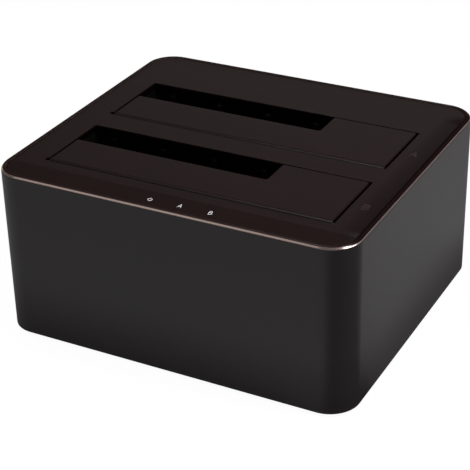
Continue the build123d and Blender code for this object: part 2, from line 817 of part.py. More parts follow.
# Rear panel: a plate in the sleeve's window with a flange behind it, cut out for the inlets
flange_back = inner_back - flange_gap
with BuildPart() as rear_panel:
    with BuildSketch(Plane.XZ.offset(-panel_face)):
        with Locations((0, panel_middle)):
            RectangleRounded(panel_width - 2 * panel_fit, panel_height - 2 * panel_fit, panel_corner - panel_fit)
    extrude(amount=panel_face - flange_back + flange_thickness)
    with BuildSketch(Plane.XZ.offset(-flange_back)):
        with Locations((0, panel_middle)):
            Rectangle(panel_width + 2 * flange_reach, panel_height + flange_reach)
    extrude(amount=flange_thickness)
    with BuildSketch(Plane.XZ.offset(-flange_back + flange_thickness)):
        with Locations((0, panel_middle)):
            Rectangle(panel_width - 2 * panel_rim, panel_height - 2 * panel_rim)
    extrude(amount=-(panel_face - panel_thickness - flange_back + flange_thickness), mode=Mode.SUBTRACT)
    with BuildSketch(Plane.XZ.offset(-case_back)):
        with Locations((usb_x, usb_middle)):
            RectangleRounded(usb_width + 2 * port_fit, usb_height + 2 * port_fit, usb_corner + port_fit)
        with Locations((jack_x, jack_middle)):
            Circle(jack_nose_radius + port_fit)
        with Locations((button_x, button_middle)):
            Circle(button_radius + button_fit)
    extrude(amount=case_back - board_half_y, mode=Mode.SUBTRACT)
save(rear_panel, "rear_panel")

# Data inlet: a shell with the stepped opening, standing on the board's rear edge
with BuildPart() as usb_port_shell:
    with BuildSketch(Plane.XZ.offset(-panel_face)):
        with Locations((usb_x, usb_middle)):
            RectangleRounded(usb_width, usb_height, usb_corner)
    extrude(amount=port_depth - panel_recess)
    lower_top = board_top + usb_floor + usb_lower_height
    with BuildSketch(Plane.XZ.offset(-panel_face)):
        with BuildLine():
            Polyline(
                (usb_x - usb_lower_width / 2, board_top + usb_floor),
                (usb_x + usb_lower_width / 2, board_top + usb_floor),
                (usb_x + usb_lower_width / 2, lower_top - usb_bevel),
                (usb_x + usb_upper_width / 2, lower_top),
                (usb_x + usb_upper_width / 2, lower_top + usb_upper_height),
                (usb_x - usb_upper_width / 2, lower_top + usb_upper_height),
                (usb_x - usb_upper_width / 2, lower_top),
                (usb_x - usb_lower_width / 2, lower_top - usb_bevel),
                close=True,
            )
        make_face()
    extrude(amount=usb_cavity, mode=Mode.SUBTRACT)
save(usb_port_shell, "usb_port_shell")

# The tongue and the upper blade inside the data inlet
with BuildPart() as usb_port_tongue:
    with BuildSketch(Plane.XZ.offset(usb_cavity - panel_face)):
        with Locations((usb_x, board_top + usb_floor + (usb_lower_height - usb_bevel) / 2)):
            Rectangle(usb_tongue_width, usb_tongue_height)
        with Locations((usb_x, lower_top + usb_upper_height / 2)):
            Rectangle(usb_upper_width - 2 * usb_blade_height, usb_blade_height)
    extrude(amount=-usb_tongue_length)
save(usb_port_tongue, "usb_port_tongue")

# Power inlet: a block on the board with a round nose in the panel, and its centre pin
with BuildPart() as dc_jack_body:
    with BuildSketch(Plane.XZ.offset(-panel_face)):
        with Locations((jack_x, jack_middle)):
            Circle(jack_nose_radius)
    extrude(amount=jack_bore_depth)
    with BuildSketch(Plane.XZ.offset(jack_body_depth - flange_back + flange_thickness)):
        with Locations((jack_x, jack_middle)):
            Rectangle(jack_width, jack_height)
    extrude(amount=-(jack_body_depth - port_fit))
    with BuildSketch(Plane.XZ.offset(-panel_face)):
        with Locations((jack_x, jack_middle)):
            Circle(jack_bore_radius)
    extrude(amount=jack_bore_depth, mode=Mode.SUBTRACT)
save(dc_jack_body, "dc_jack_body")

with BuildPart() as dc_jack_pin:
    with BuildSketch(Plane.XZ.offset(jack_bore_depth - panel_face)):
        with Locations((jack_x, jack_middle)):
            Circle(jack_pin_radius)
    extrude(amount=-jack_pin_length)
save(dc_jack_pin, "dc_jack_pin")

# Push switch: the body is fixed, the plunger and the button slide in, and a conical spring,
# wide enough at each turn to fold flat, lies between them
collar_front = flange_back - flange_thickness - button_fit
collar_back = collar_front - button_collar_thickness
switch_face = collar_back - button_travel - plunger_play - 2 * button_spring_wire_radius
with BuildPart() as power_switch_body:
    with BuildSketch(Plane.XZ.offset(-switch_face)):
        with Locations((button_x, button_middle)):
            Rectangle(switch_width, switch_height)
            Rectangle(plunger_size + 2 * plunger_play, plunger_size + 2 * plunger_play, mode=Mode.SUBTRACT)
    extrude(amount=button_travel + plunger_hidden + plunger_play)
    with BuildSketch(Plane.XZ.offset(button_travel + plunger_hidden + plunger_play - switch_face)):
        with Locations((button_x, button_middle)):
            Rectangle(switch_width, switch_height)
    extrude(amount=switch_depth - button_travel - plunger_hidden - plunger_play)
save(power_switch_body, "power_switch_body")

with BuildPart() as power_switch_plunger:
    with BuildSketch(Plane.XZ.offset(-collar_back)):
        with Locations((button_x, button_middle)):
            Rectangle(plunger_size, plunger_size)
    extrude(amount=collar_back - switch_face + plunger_hidden)
save(power_switch_plunger, "power_switch_plunger")

spring_start = switch_face + button_spring_wire_radius + button_spring_play
spring_room = collar_back - button_spring_wire_radius - button_spring_play - spring_start
spring_steps = button_spring_turns * spring_sides
spring_route = []
for step in range(spring_steps + 1):
    coil_radius = button_spring_radius + button_spring_growth * step / spring_sides
    angle = 2 * pi * step / spring_sides
    spring_route.append(
        (
            button_x + coil_radius * cos(angle),
            spring_start + spring_room * step / spring_steps,
            button_middle + coil_radius * sin(angle),
        )
    )
with BuildPart() as power_switch_spring:
    with BuildLine() as spring_wire:
        Polyline(*spring_route)
    with BuildSketch(Plane(origin=spring_wire.line @ 0, z_dir=spring_wire.line % 0)):
        Rectangle(2 * button_spring_wire_radius, 2 * button_spring_wire_radius)
    sweep(path=spring_wire.line, transition=Transition.RIGHT)
save(power_switch_spring, "power_switch_spring")

# Button cap: a dished disc with a collar behind the panel
with BuildPart() as power_button:
    with BuildSketch(Plane.XZ.offset(-panel_face)):
        with Locations((button_x, button_middle)):
            Circle(button_radius)
    extrude(amount=panel_face - collar_front)
    chamfer(power_button.faces().sort_by(Axis.Y)[-1].edges(), button_edge)
    with BuildSketch(Plane.XZ.offset(-panel_face)):
        with Locations((button_x, button_middle)):
            Circle(button_dish_radius)
    extrude(amount=button_dish_depth, mode=Mode.SUBTRACT)
    with BuildSketch(Plane.XZ.offset(-collar_front)):
        with Locations((button_x, button_middle)):
            Circle(button_collar_radius)
    extrude(amount=button_collar_thickness)
save(power_button, "power_button")
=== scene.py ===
"""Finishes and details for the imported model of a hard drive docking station.

Laid out as an add-on and run as a script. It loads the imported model, adds the visible pieces and
their materials round it, and sets up the camera, the lamps and the floor.
"""

import math

import bmesh
import bpy
import numpy as np
from mathutils import Matrix, Vector


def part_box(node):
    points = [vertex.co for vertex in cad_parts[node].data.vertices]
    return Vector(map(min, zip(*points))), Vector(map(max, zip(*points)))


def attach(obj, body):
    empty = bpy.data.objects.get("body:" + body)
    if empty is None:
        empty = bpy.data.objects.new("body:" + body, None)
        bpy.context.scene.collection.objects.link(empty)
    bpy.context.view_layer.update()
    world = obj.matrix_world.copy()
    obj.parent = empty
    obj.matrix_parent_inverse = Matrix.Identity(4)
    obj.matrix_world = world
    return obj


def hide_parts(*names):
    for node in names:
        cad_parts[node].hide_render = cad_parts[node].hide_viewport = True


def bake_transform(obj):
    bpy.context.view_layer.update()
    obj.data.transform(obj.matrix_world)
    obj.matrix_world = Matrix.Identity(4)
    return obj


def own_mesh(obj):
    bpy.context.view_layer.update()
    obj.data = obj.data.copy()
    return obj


bl_info = {
    "name": "Docking station finishes",
    "version": (1, 0, 0),
    "blender": (4, 5, 0),
    "location": "3D View > Sidebar > Dock",
    "description": "Builds the visible pieces, materials and studio of a hard drive docking station",
    "category": "Object",
}

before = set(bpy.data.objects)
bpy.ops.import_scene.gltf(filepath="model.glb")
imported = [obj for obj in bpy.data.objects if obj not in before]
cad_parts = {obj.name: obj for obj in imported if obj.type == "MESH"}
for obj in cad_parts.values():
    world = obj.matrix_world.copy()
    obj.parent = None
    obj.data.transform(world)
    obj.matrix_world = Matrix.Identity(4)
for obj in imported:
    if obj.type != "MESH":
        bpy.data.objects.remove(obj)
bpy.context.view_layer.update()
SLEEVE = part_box("outer_sleeve")
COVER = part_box("top_cover")
MM = 0.001
BAND_RUN = 10.4 * MM
BAND_DROP = 1.2 * MM
SURFACE_PLAY = 0.05 * MM
SHARP_ANGLE = math.radians(32.0)
WHITE = (1.0, 1.0, 1.0)


def cover_level(y):
    """Height of the cover's top: flat, then sloping down over the front band."""
    return COVER[1].z - np.maximum(0.0, SLEEVE[0].y + BAND_RUN - y) * BAND_DROP / BAND_RUN


def centre(box):
    """Middle of a box, as plain numbers."""
    return [(low + high) / 2 for low, high in zip(*box)]


# Node trees


class Wire:
    """An output socket. Arithmetic on wires and numbers adds Math nodes to the wire's tree."""

    def __init__(self, board, socket):
        self.board, self.socket = board, socket

    def calc(self, operation, *others):
        return self.board.calc(operation, self, *others)

    def __add__(self, other):
        return self.calc("ADD", other)

    def __sub__(self, other):
        return self.calc("SUBTRACT", other)

    def __rsub__(self, other):
        return self.board.calc("SUBTRACT", other, self)

    def __mul__(self, other):
        return self.calc("MULTIPLY", other)

    __radd__ = __add__
    __rmul__ = __mul__


class NodeBoard:
    """The node tree of one material or world, and the one method that adds any node to it."""

    def __init__(self, owner):
        owner.use_nodes = True
        self.tree = owner.node_tree
        self.tree.nodes.clear()

    def node(self, kind, settings=None, inputs=None, out=0):
        made = self.tree.nodes.new(kind)
        for name, value in (settings or {}).items():
            setattr(made, name, value)
        for name, value in (inputs or {}).items():
            if isinstance(value, Wire):
                self.tree.links.new(value.socket, made.inputs[name])
            else:
                made.inputs[name].default_value = value
        return Wire(self, made.outputs[out]) if made.outputs else None

    def calc(self, operation, *values):
        return self.node("ShaderNodeMath", {"operation": operation}, dict(enumerate(values)))

    def vector(self, operation, *values, out=0):
        return self.node("ShaderNodeVectorMath", {"operation": operation}, dict(enumerate(values)), out)

    def outputs(self, wire, *names):
        """Further outputs of the node that a wire comes from."""
        return [Wire(self, wire.socket.node.outputs[name]) for name in names]

    def place(self, stretch=None):
        """Object coordinates, which may be stretched along each axis."""
        point = self.node("ShaderNodeTexCoord", out="Object")
        if stretch:
            inputs = {"Vector": point, "Scale": stretch}
            point = self.node("ShaderNodeMapping", {"vector_type": "POINT"}, inputs)
        return point

    def split(self, vector):
        """The x, y and z of a vector."""
        return self.outputs(self.node("ShaderNodeSeparateXYZ", None, {0: vector}), 0, 1, 2)

    def noise(self, scale, detail=2.0, roughness=0.5, stretch=None):
        inputs = {"Vector": self.place(stretch), "Scale": scale, "Detail": detail, "Roughness": roughness}
        return self.node("ShaderNodeTexNoise", None, inputs)

    def rise(self, value, low, high):
        """0 below low, 1 above high, and a smooth step between them."""
        inputs = {"Value": value, "From Min": low, "From Max": high}
        return self.node("ShaderNodeMapRange", {"interpolation_type": "SMOOTHSTEP"}, inputs)

    def blend(self, share, first, second):
        """Colour that goes from first to second as share goes from 0 to 1."""
        return self.node("ShaderNodeMix", {"data_type": "RGBA"}, {0: share, 6: first, 7: second}, out=2)

    def bump(self, height, depth, strength=1.0):
        """Normal of a surface whose height rises by depth, in metres, as height goes from 0 to 1."""
        return self.node("ShaderNodeBump", None, {"Height": height, "Distance": depth, "Strength": strength})

    def from_edge(self, flat, middle, half, radius):
        """Distance inwards from the outline of an upright block with round corners, at flat = x, y."""
        over = [(axis - start).calc("ABSOLUTE") - (reach - radius)
                for axis, start, reach in zip(flat, middle, half)]
        x, y = (part.calc("MAXIMUM", 0.0) for part in over)
        return radius - (x * x + y * y).calc("SQRT") - over[0].calc("MAXIMUM", over[1]).calc("MINIMUM", 0.0)


def shade(colour, factor=1.0):
    """A colour made lighter or darker by a factor, with alpha."""
    return (*(channel * factor for channel in colour), 1.0)


def make_material(name, build, *values, **options):
    """Material from build(board, ...), which returns the shader's varying inputs and its constants."""
    material = bpy.data.materials.new(name)
    board = NodeBoard(material)
    shader = board.node("ShaderNodeBsdfPrincipled", None, build(board, *values, **options))
    board.node("ShaderNodeOutputMaterial", None, {"Surface": shader})
    return material


# Meshes


def circle(count):
    """Angles of a whole turn, in equal steps."""
    return np.linspace(0.0, 2 * math.pi, count, endpoint=False)


def quarter(steps):
    """Angles from 0 to a right angle, in equal steps."""
    return np.linspace(0.0, math.pi / 2, steps + 1)


def unit(rows):
    """Vectors made one long."""
    return rows / np.linalg.norm(rows, axis=-1, keepdims=True)


def grid_faces(rows, columns, wrap_rows=False):
    """Quads of a grid whose rows are closed loops and, with wrap_rows, whose last row meets the first."""
    row, column = np.meshgrid(np.arange(rows if wrap_rows else rows - 1), np.arange(columns), indexing="ij")
    next_row, next_column = (row + 1) % rows, (column + 1) % columns
    corners = ((row, column), (row, next_column), (next_row, next_column), (next_row, column))
    return np.stack([one * columns + two for one, two in corners], axis=-1).reshape(-1, 4)


def surface(points):
    """Points in closed rows as a shape, which is a pair of points and faces."""
    return points, grid_faces(*points.shape[:2])


def gather(shapes):
    """Several (points, faces) pairs as one."""
    points, faces, count = [], [], 0
    for shape_points, shape_faces in shapes:
        points.append(shape_points.reshape(-1, 3))
        faces.append(shape_faces + count)
        count += len(points[-1])
    return np.concatenate(points), np.concatenate(faces)


def add_piece(name, shape, material, replaces=(), body="dock"):
    """Mesh object from (points, faces), with doubles merged and faces pointing out."""
    points, faces = shape
    mesh = bpy.data.meshes.new(name)
    mesh.from_pydata(points.reshape(-1, 3).tolist(), [], faces.tolist())
    work = bmesh.new()
    work.from_mesh(mesh)
    bmesh.ops.remove_doubles(work, verts=work.verts, dist=1e-7)
    bmesh.ops.dissolve_degenerate(work, edges=work.edges, dist=1e-8)
    bmesh.ops.recalc_face_normals(work, faces=work.faces)
    return settle(name, work, mesh, material, replaces, body)


def merged_copy(name, node, material, body="dock"):
    """Copy of a CAD node with its loose triangles merged into whole faces, which stands for the node."""
    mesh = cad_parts[node].data.copy()
    mesh.name = name
    mesh.transform(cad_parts[node].matrix_world)
    work = bmesh.new()
    work.from_mesh(mesh)
    bmesh.ops.remove_doubles(work, verts=work.verts, dist=1e-6)
    bmesh.ops.dissolve_limit(work, angle_limit=math.radians(0.2), verts=work.verts, edges=work.edges)
    return settle(name, work, mesh, material, [node], body)


def settle(name, work, mesh, material, replaces, body):
    """Smooths a worked mesh, gives it its material, and puts it on its body, unless that is None."""
    work.to_mesh(mesh)
    work.free()
    mesh.shade_smooth()
    mesh.set_sharp_from_angle(angle=SHARP_ANGLE)
    mesh.materials.clear()
    mesh.materials.append(material)
    piece = bpy.data.objects.new(name, mesh)
    bpy.context.scene.collection.objects.link(piece)
    if body:
        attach(piece, body)
    if replaces:
        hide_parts(*replaces)
    return piece


def edge_middles(mesh):
    """Middle of each edge, as rows of x, y and z."""
    points = np.empty(len(mesh.vertices) * 3)
    mesh.vertices.foreach_get("co", points)
    ends = np.empty(len(mesh.edges) * 2, dtype=np.int32)
    mesh.edges.foreach_get("vertices", ends)
    return points.reshape(-1, 3)[ends.reshape(-1, 2)].mean(axis=1)


def read_sharp(mesh):
    """Which edges are sharp."""
    sharp = np.zeros(len(mesh.edges), dtype=bool)
    mesh.attributes["sharp_edge"].data.foreach_get("value", sharp)
    return sharp


def soften(piece, where, width):
    """Rounds the sharp edges of a piece wherever where(edge middles) is true, and keeps flat faces flat."""
    mesh = piece.data
    weights = (read_sharp(mesh) & where(edge_middles(mesh))).astype(np.float32)
    mesh.attributes.new("bevel_weight_edge", "FLOAT", "EDGE").data.foreach_set("value", weights)
    rounding = piece.modifiers.new("rounded edges", "BEVEL")
    rounding.limit_method = "WEIGHT"
    rounding.width = width
    rounding.segments = 2
    rounding.use_clamp_overlap = False
    rounding.harden_normals = True
    leveller = piece.modifiers.new("level normals", "WEIGHTED_NORMAL")
    leveller.mode = "FACE_AREA"
    leveller.weight = 100
    leveller.keep_sharp = True


def rounded(corners, radii, guard, rows, steps=4):
    """Closed outline whose corners become arcs tangent to both sides, each with steps + 1 points.

    A point stands at guard from each arc, which keeps the flat sides flat when they are smoothed.
    rows maps a side to the number of extra points along it. Returns the points and, for each of
    those sides, the numbers of its first and last point.
    """
    corners = np.array(corners)
    points, sides, count = [], {}, 0
    for number, (corner, radius) in enumerate(zip(corners, radii)):
        after = (number + 1) % len(corners)
        back, ahead = unit(corners[number - 1] - corner), unit(corners[after] - corner)
        own = corner[None, :]
        if radius:
            half = math.acos(back @ ahead) / 2
            reach = radius / math.tan(half)
            middle = corner + unit(back + ahead) * radius / math.sin(half)
            first = (corner + back * reach - middle) / radius
            last = (corner + ahead * reach - middle) / radius
            turn = math.acos(first @ last)
            share = np.linspace(0.0, 1.0, steps + 1)[:, None]
            arc = (np.sin((1 - share) * turn) * first + np.sin(share * turn) * last) / math.sin(turn)
            start, end = ([corner + side * (reach + guard)] for side in (back, ahead))
            own = np.concatenate([start, middle + radius * arc, end])
        points.append(own)
        count += len(own)
        if number in rows:
            end = corners[after] - ahead * (guard + radii[after])
            points.append(np.linspace(own[-1], end, rows[number] + 2)[1:-1])
            sides[number] = (count - 1, count + rows[number])
            count += rows[number]
    return np.concatenate(points), sides


def round_rectangle(half_x, half_y, radius, shares, corner_steps):
    """Outline of a rectangle with round corners, and its outward normals.

    Each side holds points at the given shares of its straight half length, and a quarter circle of
    corner_steps spans joins it to the next: front, right, back, left.
    """
    points, normals = [], []
    turn = quarter(corner_steps)[1:-1]
    for side, (near, far) in enumerate([(half_y, half_x), (half_x, half_y)] * 2):
        angle = -math.pi / 2 + side * math.pi / 2
        normal = np.array([math.cos(angle), math.sin(angle)])
        along = np.array([-math.sin(angle), math.cos(angle)])
        points.append(normal * near + np.outer(shares * (far - radius), along))
        normals.append(np.tile(normal, (len(shares), 1)))
        fan = np.stack([np.cos(angle + turn), np.sin(angle + turn)], axis=1)
        points.append(normal * (near - radius) + along * (far - radius) + radius * fan)
        normals.append(fan)
    return np.concatenate(points), np.concatenate(normals)


def turned(profile, segments, place=(0.0, 0.0, 0.0), axis=2):
    """Surface of revolution: each (radius, height) of the profile turned round an axis through place."""
    angle = circle(segments)
    radius, height = np.array(profile).T
    rings = [np.outer(radius, np.cos(angle)), np.outer(radius, np.sin(angle))]
    rings.insert(axis, np.repeat(height[:, None], segments, axis=1))
    return surface(np.stack(rings, axis=-1) + np.array(place))


def bend(radius, height, edge, sign):
    """Profile points of a quarter circle of radius edge that rounds the rim of a disc.

    The disc's face lies at height, and sign is 1 where it looks up the axis and -1 where it looks down.
    """
    return [(radius - edge + edge * math.sin(angle), height - sign * (edge - edge * math.cos(angle)))
            for angle in quarter(6)]


def carried(path, ring, hint=(0.31, 0.17, 0.93)):
    """Section carried along a path, square to it, with both ends drawn in to a point.

    ring holds the section's points as (across, up), where across is square to the hint.
    """
    ahead = unit(np.gradient(path, axis=0))
    across = unit(np.cross(ahead, hint))
    up = np.cross(across, ahead)
    path, across, up = (np.concatenate([rows[:1], rows, rows[-1:]]) for rows in (path, across, up))
    size = np.ones(len(path))
    size[[0, -1]] = 0.0
    offset = ring[None, :, :1] * across[:, None, :] + ring[None, :, 1:] * up[:, None, :]
    return surface(path[:, None, :] + size[:, None, None] * offset)


def tube(path, radius):
    """Round wire: a circle of ten sides carried along the path."""
    angle = circle(10)
    return carried(path, radius * np.stack([np.cos(angle), np.sin(angle)], axis=1))


def stroke(line, half_width, height, sink):
    """Raised pen stroke on a flat surface: a half ellipse carried along a line, with round ends.

    At a distance d from an end, the width is that of a circle of the half width there.
    """
    ahead = unit(np.gradient(line, axis=0))
    reach = np.array([1.0, 0.9, 0.7, 0.4])
    cap, count = reach[:, None] * half_width, len(reach)
    line = np.concatenate([line[0] - cap * ahead[0], line, line[-1] + cap[::-1] * ahead[-1]])
    ahead = np.concatenate([np.tile(ahead[0], (count, 1)), ahead, np.tile(ahead[-1], (count, 1))])
    taper = np.sqrt(1 - reach**2)
    share = np.concatenate([taper, np.ones(len(line) - 2 * count), taper[::-1]])[:, None]
    across = np.stack([-ahead[:, 1], ahead[:, 0]], axis=1)
    angle = circle(12)
    flat = line[:, None, :] + (share * half_width * np.cos(angle))[..., None] * across[:, None, :]
    level = share * np.where(np.sin(angle) > 0, height, sink) * np.sin(angle)
    return surface(np.concatenate([flat, level[..., None]], axis=-1))


def straight(*corners):
    """Straight pen strokes between neighbouring corners."""
    return [np.linspace(start, end, 5) for start, end in zip(corners, corners[1:])]


def arc(middle, radius, start, end):
    """Round pen stroke from one angle to another, in degrees."""
    angle = np.radians(np.linspace(start, end, 25))
    return [np.array(middle) + radius * np.stack([np.cos(angle), np.sin(angle)], axis=1)]


# Pen strokes of each mark, one unit tall and centred on the origin
GLYPHS = {
    "power": arc((0.0, -0.1), 0.4, 128, 412) + straight((0.0, 0.5), (0.0, 0.0)),
    "A": straight((-0.36, -0.5), (0.0, 0.5), (0.36, -0.5)) + straight((-0.22, -0.14), (0.22, -0.14)),
    "B": straight((0.02, 0.5), (-0.3, 0.5), (-0.3, -0.5), (0.04, -0.5)) + straight((-0.3, 0.03), (0.04, 0.03))
    + arc((0.02, 0.265), 0.235, 90, -90) + arc((0.04, -0.235), 0.265, 90, -90),
}


def marked(glyph, middle, size, pen, height=0.03 * MM):
    """A glyph of the given size, drawn round a place on a flat surface and sunk a little into it."""
    return gather([stroke(np.array(middle) + size * line, pen, height, 0.02 * MM) for line in GLYPHS[glyph]])


# Settings


def scalar(name, default, description, unit="NONE"):
    """Setting that holds a number or a power."""
    return bpy.props.FloatProperty(name=name, description=description, default=default, unit=unit)


def in_mm(name, millimetres, description):
    """Setting that holds a length."""
    return scalar(name, millimetres * MM, description, "LENGTH")


def in_degrees(name, degrees, description):
    """Setting that holds an angle."""
    return scalar(name, math.radians(degrees), description, "ROTATION")


def as_colour(name, default, description, subtype="COLOR"):
    """Setting that holds a colour."""
    return bpy.props.FloatVectorProperty(name=name, description=description, default=default, subtype=subtype)


def at_mm(name, millimetres, description):
    """Setting that holds a place."""
    return as_colour(name, [part * MM for part in millimetres], description, "TRANSLATION")


class CaseSettings(bpy.types.PropertyGroup):
    corner: in_mm("Corner radius", 10.5, "Radius of the case's upright corners")
    wall: in_mm("Wall", 2.6, "Thickness of the case's walls")
    rim: in_mm("Rim", 1.7, "Thickness of the wall beside the cover and the base")
    bevel: in_mm("Rim bevel", 0.9, "Width and height of the polished bevel round the rim")
    bevel_round: in_mm("Bevel rounding", 0.6, "Radius at both edges of the rim's bevel")
    inner_bevel: in_mm("Inner bevel", 0.2, "Width of the polished edge inside the rim")
    edge: in_mm("Edge rounding", 0.12, "Radius that breaks the case's sharp edges")
    cover_seat: in_mm("Cover seat", 2.65, "Depth of the step that the cover lies in")
    base_seat: in_mm("Base seat", 2.0, "Depth of the step that the base lies in")
    window_width: in_mm("Window width", 90.0, "Width of the opening for the rear panel")
    window_height: in_mm("Window height", 18.6, "Height of the opening for the rear panel")
    window_level: in_mm("Window level", 13.2, "Height of the middle of the opening for the rear panel")
    window_corner: in_mm("Window corner", 1.6, "Corner radius of the opening for the rear panel")
    roll_width: in_mm("Roll width", 7.5, "Width over which the cover rolls down to its rim")
    roll_drop: in_mm("Roll drop", 1.2, "How far the cover rolls down at its rim")
    sleeve_colour: as_colour("Case colour", (0.0195, 0.0162, 0.017), "Satin black of the case")
    bevel_colour: as_colour("Bevel colour", (0.62, 0.49, 0.45), "Polished metal of the rim's bevels")
    cover_colour: as_colour("Cover colour", (0.0122, 0.0056, 0.0052), "Warm black of the cover")
    flap_colour: as_colour("Flap colour", (0.0124, 0.0054, 0.0060), "Warm black of the flaps")
    inner_colour: as_colour("Inner colour", (0.003, 0.0028, 0.0028), "Black of the wells and pieces inside")


class MarkSettings(bpy.types.PropertyGroup):
    first_x: in_mm("First mark", -6.55, "Place of the power symbol across the band")
    pitch: in_mm("Spacing", 10.8, "Distance between the marks on the band")
    from_front: in_mm("From the front", 6.2, "Distance of the marks from the case's front")
    size: in_mm("Size", 1.7, "Height of the printed marks")
    pen: in_mm("Pen", 0.08, "Half the width of a printed stroke")
    bay_size: in_mm("Bay letter size", 3.2, "Height of the moulded letters beside the bays")
    colour: as_colour("Mark colour", (0.9, 0.9, 0.9), "White of the lit marks")


class StudioSettings(bpy.types.PropertyGroup):
    lens: scalar("Lens", 113.17, "Focal length of the camera in millimetres")
    azimuth: in_degrees("Azimuth", 28.088, "Turn of the camera from the front to the right")
    elevation: in_degrees("Elevation", 28.831, "Height of the camera above the horizon")
    roll: in_degrees("Roll", -1.32, "Turn of the camera round its view")
    place: at_mm("Camera place", (211.54, -403.27, 274.39), "Place of the camera")
    floor_colour: as_colour("Floor colour", (0.86, 0.86, 0.86), "Pale colour of the floor")
    # Start of the floor's painted dark reflection, seen only in the case's mirroring
    painted_dark_from: at_mm("Dark from", (54.0, -46.5, 0.0), "Place beyond which the mirrored floor is darker")
    sky_low: scalar("Horizon", 1.0, "Strength of the surroundings at the horizon")
    sky_high: scalar("Overhead", 0.1, "Strength of the surroundings overhead")
    key_power: scalar("Key lamp", 1.5, "Power of the soft lamp at the upper right", "POWER")
    fill_power: scalar("Fill lamp", 0.5, "Power of the soft lamp at the upper front left", "POWER")
    strip_power: scalar("Strip lamp", 1.1, "Power of the small bright lamp overhead", "POWER")


class DockSettings(bpy.types.PropertyGroup):
    case: bpy.props.PointerProperty(type=CaseSettings)
    marks: bpy.props.PointerProperty(type=MarkSettings)
    studio: bpy.props.PointerProperty(type=StudioSettings)


# Materials


def moulded(board, colour, roughness, specular, grain=0.35, form=None):
    """Dark moulded plastic: fine spark-eroded grain, cloudy gloss, and faint handling marks.

    form(board) may give a further height in millimetres and a share of painted shade.
    """
    fine = board.noise(1000.0 / grain, 3.0, 0.6)
    cloud = board.noise(45.0, 3.0, 0.55)
    streak = board.noise(1.0, stretch=(30.0, 320.0, 30.0))
    tint = board.blend(cloud, shade(colour, 0.88), shade(colour, 1.14))
    height = 0.006 * fine
    if form:
        relief, painted_dark = form(board)
        height = height + relief
        # Painted shade: the colour darkens by the share that form gives
        tint = board.blend(painted_dark, tint, shade(colour, 0.15))
    return {
        "Base Color": tint,
        "Roughness": roughness - 0.05 + 0.07 * cloud + 0.05 * fine + 0.03 * streak,
        "Normal": board.bump(height, MM),
        "Specular IOR Level": specular,
    }


def metal(board, colour, roughness, stretch=None, scale=900.0):
    """Bright metal with drawing or turning marks along one direction and slightly dull patches."""
    marks = board.noise(scale, 3.0, 0.6, stretch)
    cloud = board.noise(160.0)
    return {
        "Base Color": board.blend(cloud, shade(colour, 0.85), shade(colour, 1.08)),
        "Roughness": roughness - 0.04 + 0.1 * marks + 0.06 * cloud,
        "Normal": board.bump(marks, 0.002 * MM, 0.4),
        "Metallic": 1.0,
    }


def satin_case(board, case):
    """Satin black case, polished metal bevel under its top, faint wear near the floor, painted shade at the
    right rim.
    """
    low, high, side = SLEEVE[0].z, SLEEVE[1].z, SLEEVE[1].x
    x, _, z = board.split(board.place())
    fine = board.noise(3200.0, 3.0, 0.6)
    cloud = board.noise(38.0, 3.0)
    brushed = board.noise(1500.0, stretch=(1.0, 1.0, 0.02))
    # Painted shade along the right side: the polished band is narrower there and the flat ledge on top darker
    right = board.rise(x, side - 3.0 * MM, side - 1.2 * MM)
    foot = high - case.bevel
    bright = board.rise(z, foot - 0.04 * MM + right * (0.1 * MM), foot + 0.2 * MM)
    bright = bright * (1 - board.rise(z + right * (0.2 * MM), high - 0.5 * MM, high - 0.25 * MM))
    flat = board.rise(z, high - 0.6 * MM, high - 0.3 * MM)
    rub = (1 - board.rise(z, low + 0.2 * MM, low + 1.4 * MM)) * board.rise(cloud, 0.45, 0.7)
    satin = board.blend(cloud, shade(case.sleeve_colour, 0.85), shade(case.sleeve_colour, 1.18))
    satin = board.blend(0.5 * rub, satin, shade(case.sleeve_colour, 3.0))
    # Lit and shaded copies of the ledge colour, darker towards the right: painted shade
    ledge_painted_shade = board.blend(right, shade(case.cover_colour, 1.35), shade(case.cover_colour, 0.8))
    satin = board.blend(flat, satin, ledge_painted_shade)
    polished = board.blend(brushed, shade(case.bevel_colour, 0.9), shade(case.bevel_colour, 1.08))
    dull = 0.3 + 0.06 * cloud + 0.03 * fine - 0.05 * rub
    coat = 0.22 + 0.2 * board.rise(z, low, low + 24.0 * MM) - 0.06 * cloud
    return {
        "Base Color": board.blend(bright, satin, polished),
        "Metallic": bright,
        "Roughness": dull + bright * (0.2 + 0.05 * brushed - dull),
        "Coat Weight": (coat + flat * (0.2 - 0.15 * right - coat)) * (1 - bright),
        "Normal": board.bump(fine * (1 - bright), 0.006 * MM, 0.4),
        "Specular IOR Level": 0.0,
        "Coat IOR": 1.6,
        "Coat Roughness": 0.32,
    }


def lit_mark(board, colour):
    """White print lit from below, a little uneven."""
    ink = board.noise(2600.0)
    tint = board.blend(ink, shade(colour, 0.94), shade(colour, 1.04))
    return {
        "Base Color": tint, "Emission Color": tint, "Emission Strength": 0.25, "Roughness": 0.45 + 0.1 * ink}


def lacquered_board(board):
    """Green lacquered circuit board: copper runs show as lighter lines on a fine grid."""
    runs = board.node(
        "ShaderNodeTexWave", {"wave_type": "BANDS", "bands_direction": "DIAGONAL"},
        {"Vector": board.place(), "Scale": 160.0, "Distortion": 9.0, "Detail": 1.0, "Detail Scale": 0.6}, 1)
    copper = board.rise(runs, 0.72, 0.8)
    cloud = board.noise(90.0)
    lacquer = board.blend(cloud, shade((0.012, 0.07, 0.03)), shade((0.016, 0.09, 0.04)))
    return {
        "Base Color": board.blend(copper, lacquer, shade((0.03, 0.16, 0.06))),
        "Roughness": 0.28 + 0.1 * cloud,
        "Normal": board.bump(copper, 0.03 * MM, 0.6),
        "Specular IOR Level": 0.5,
    }


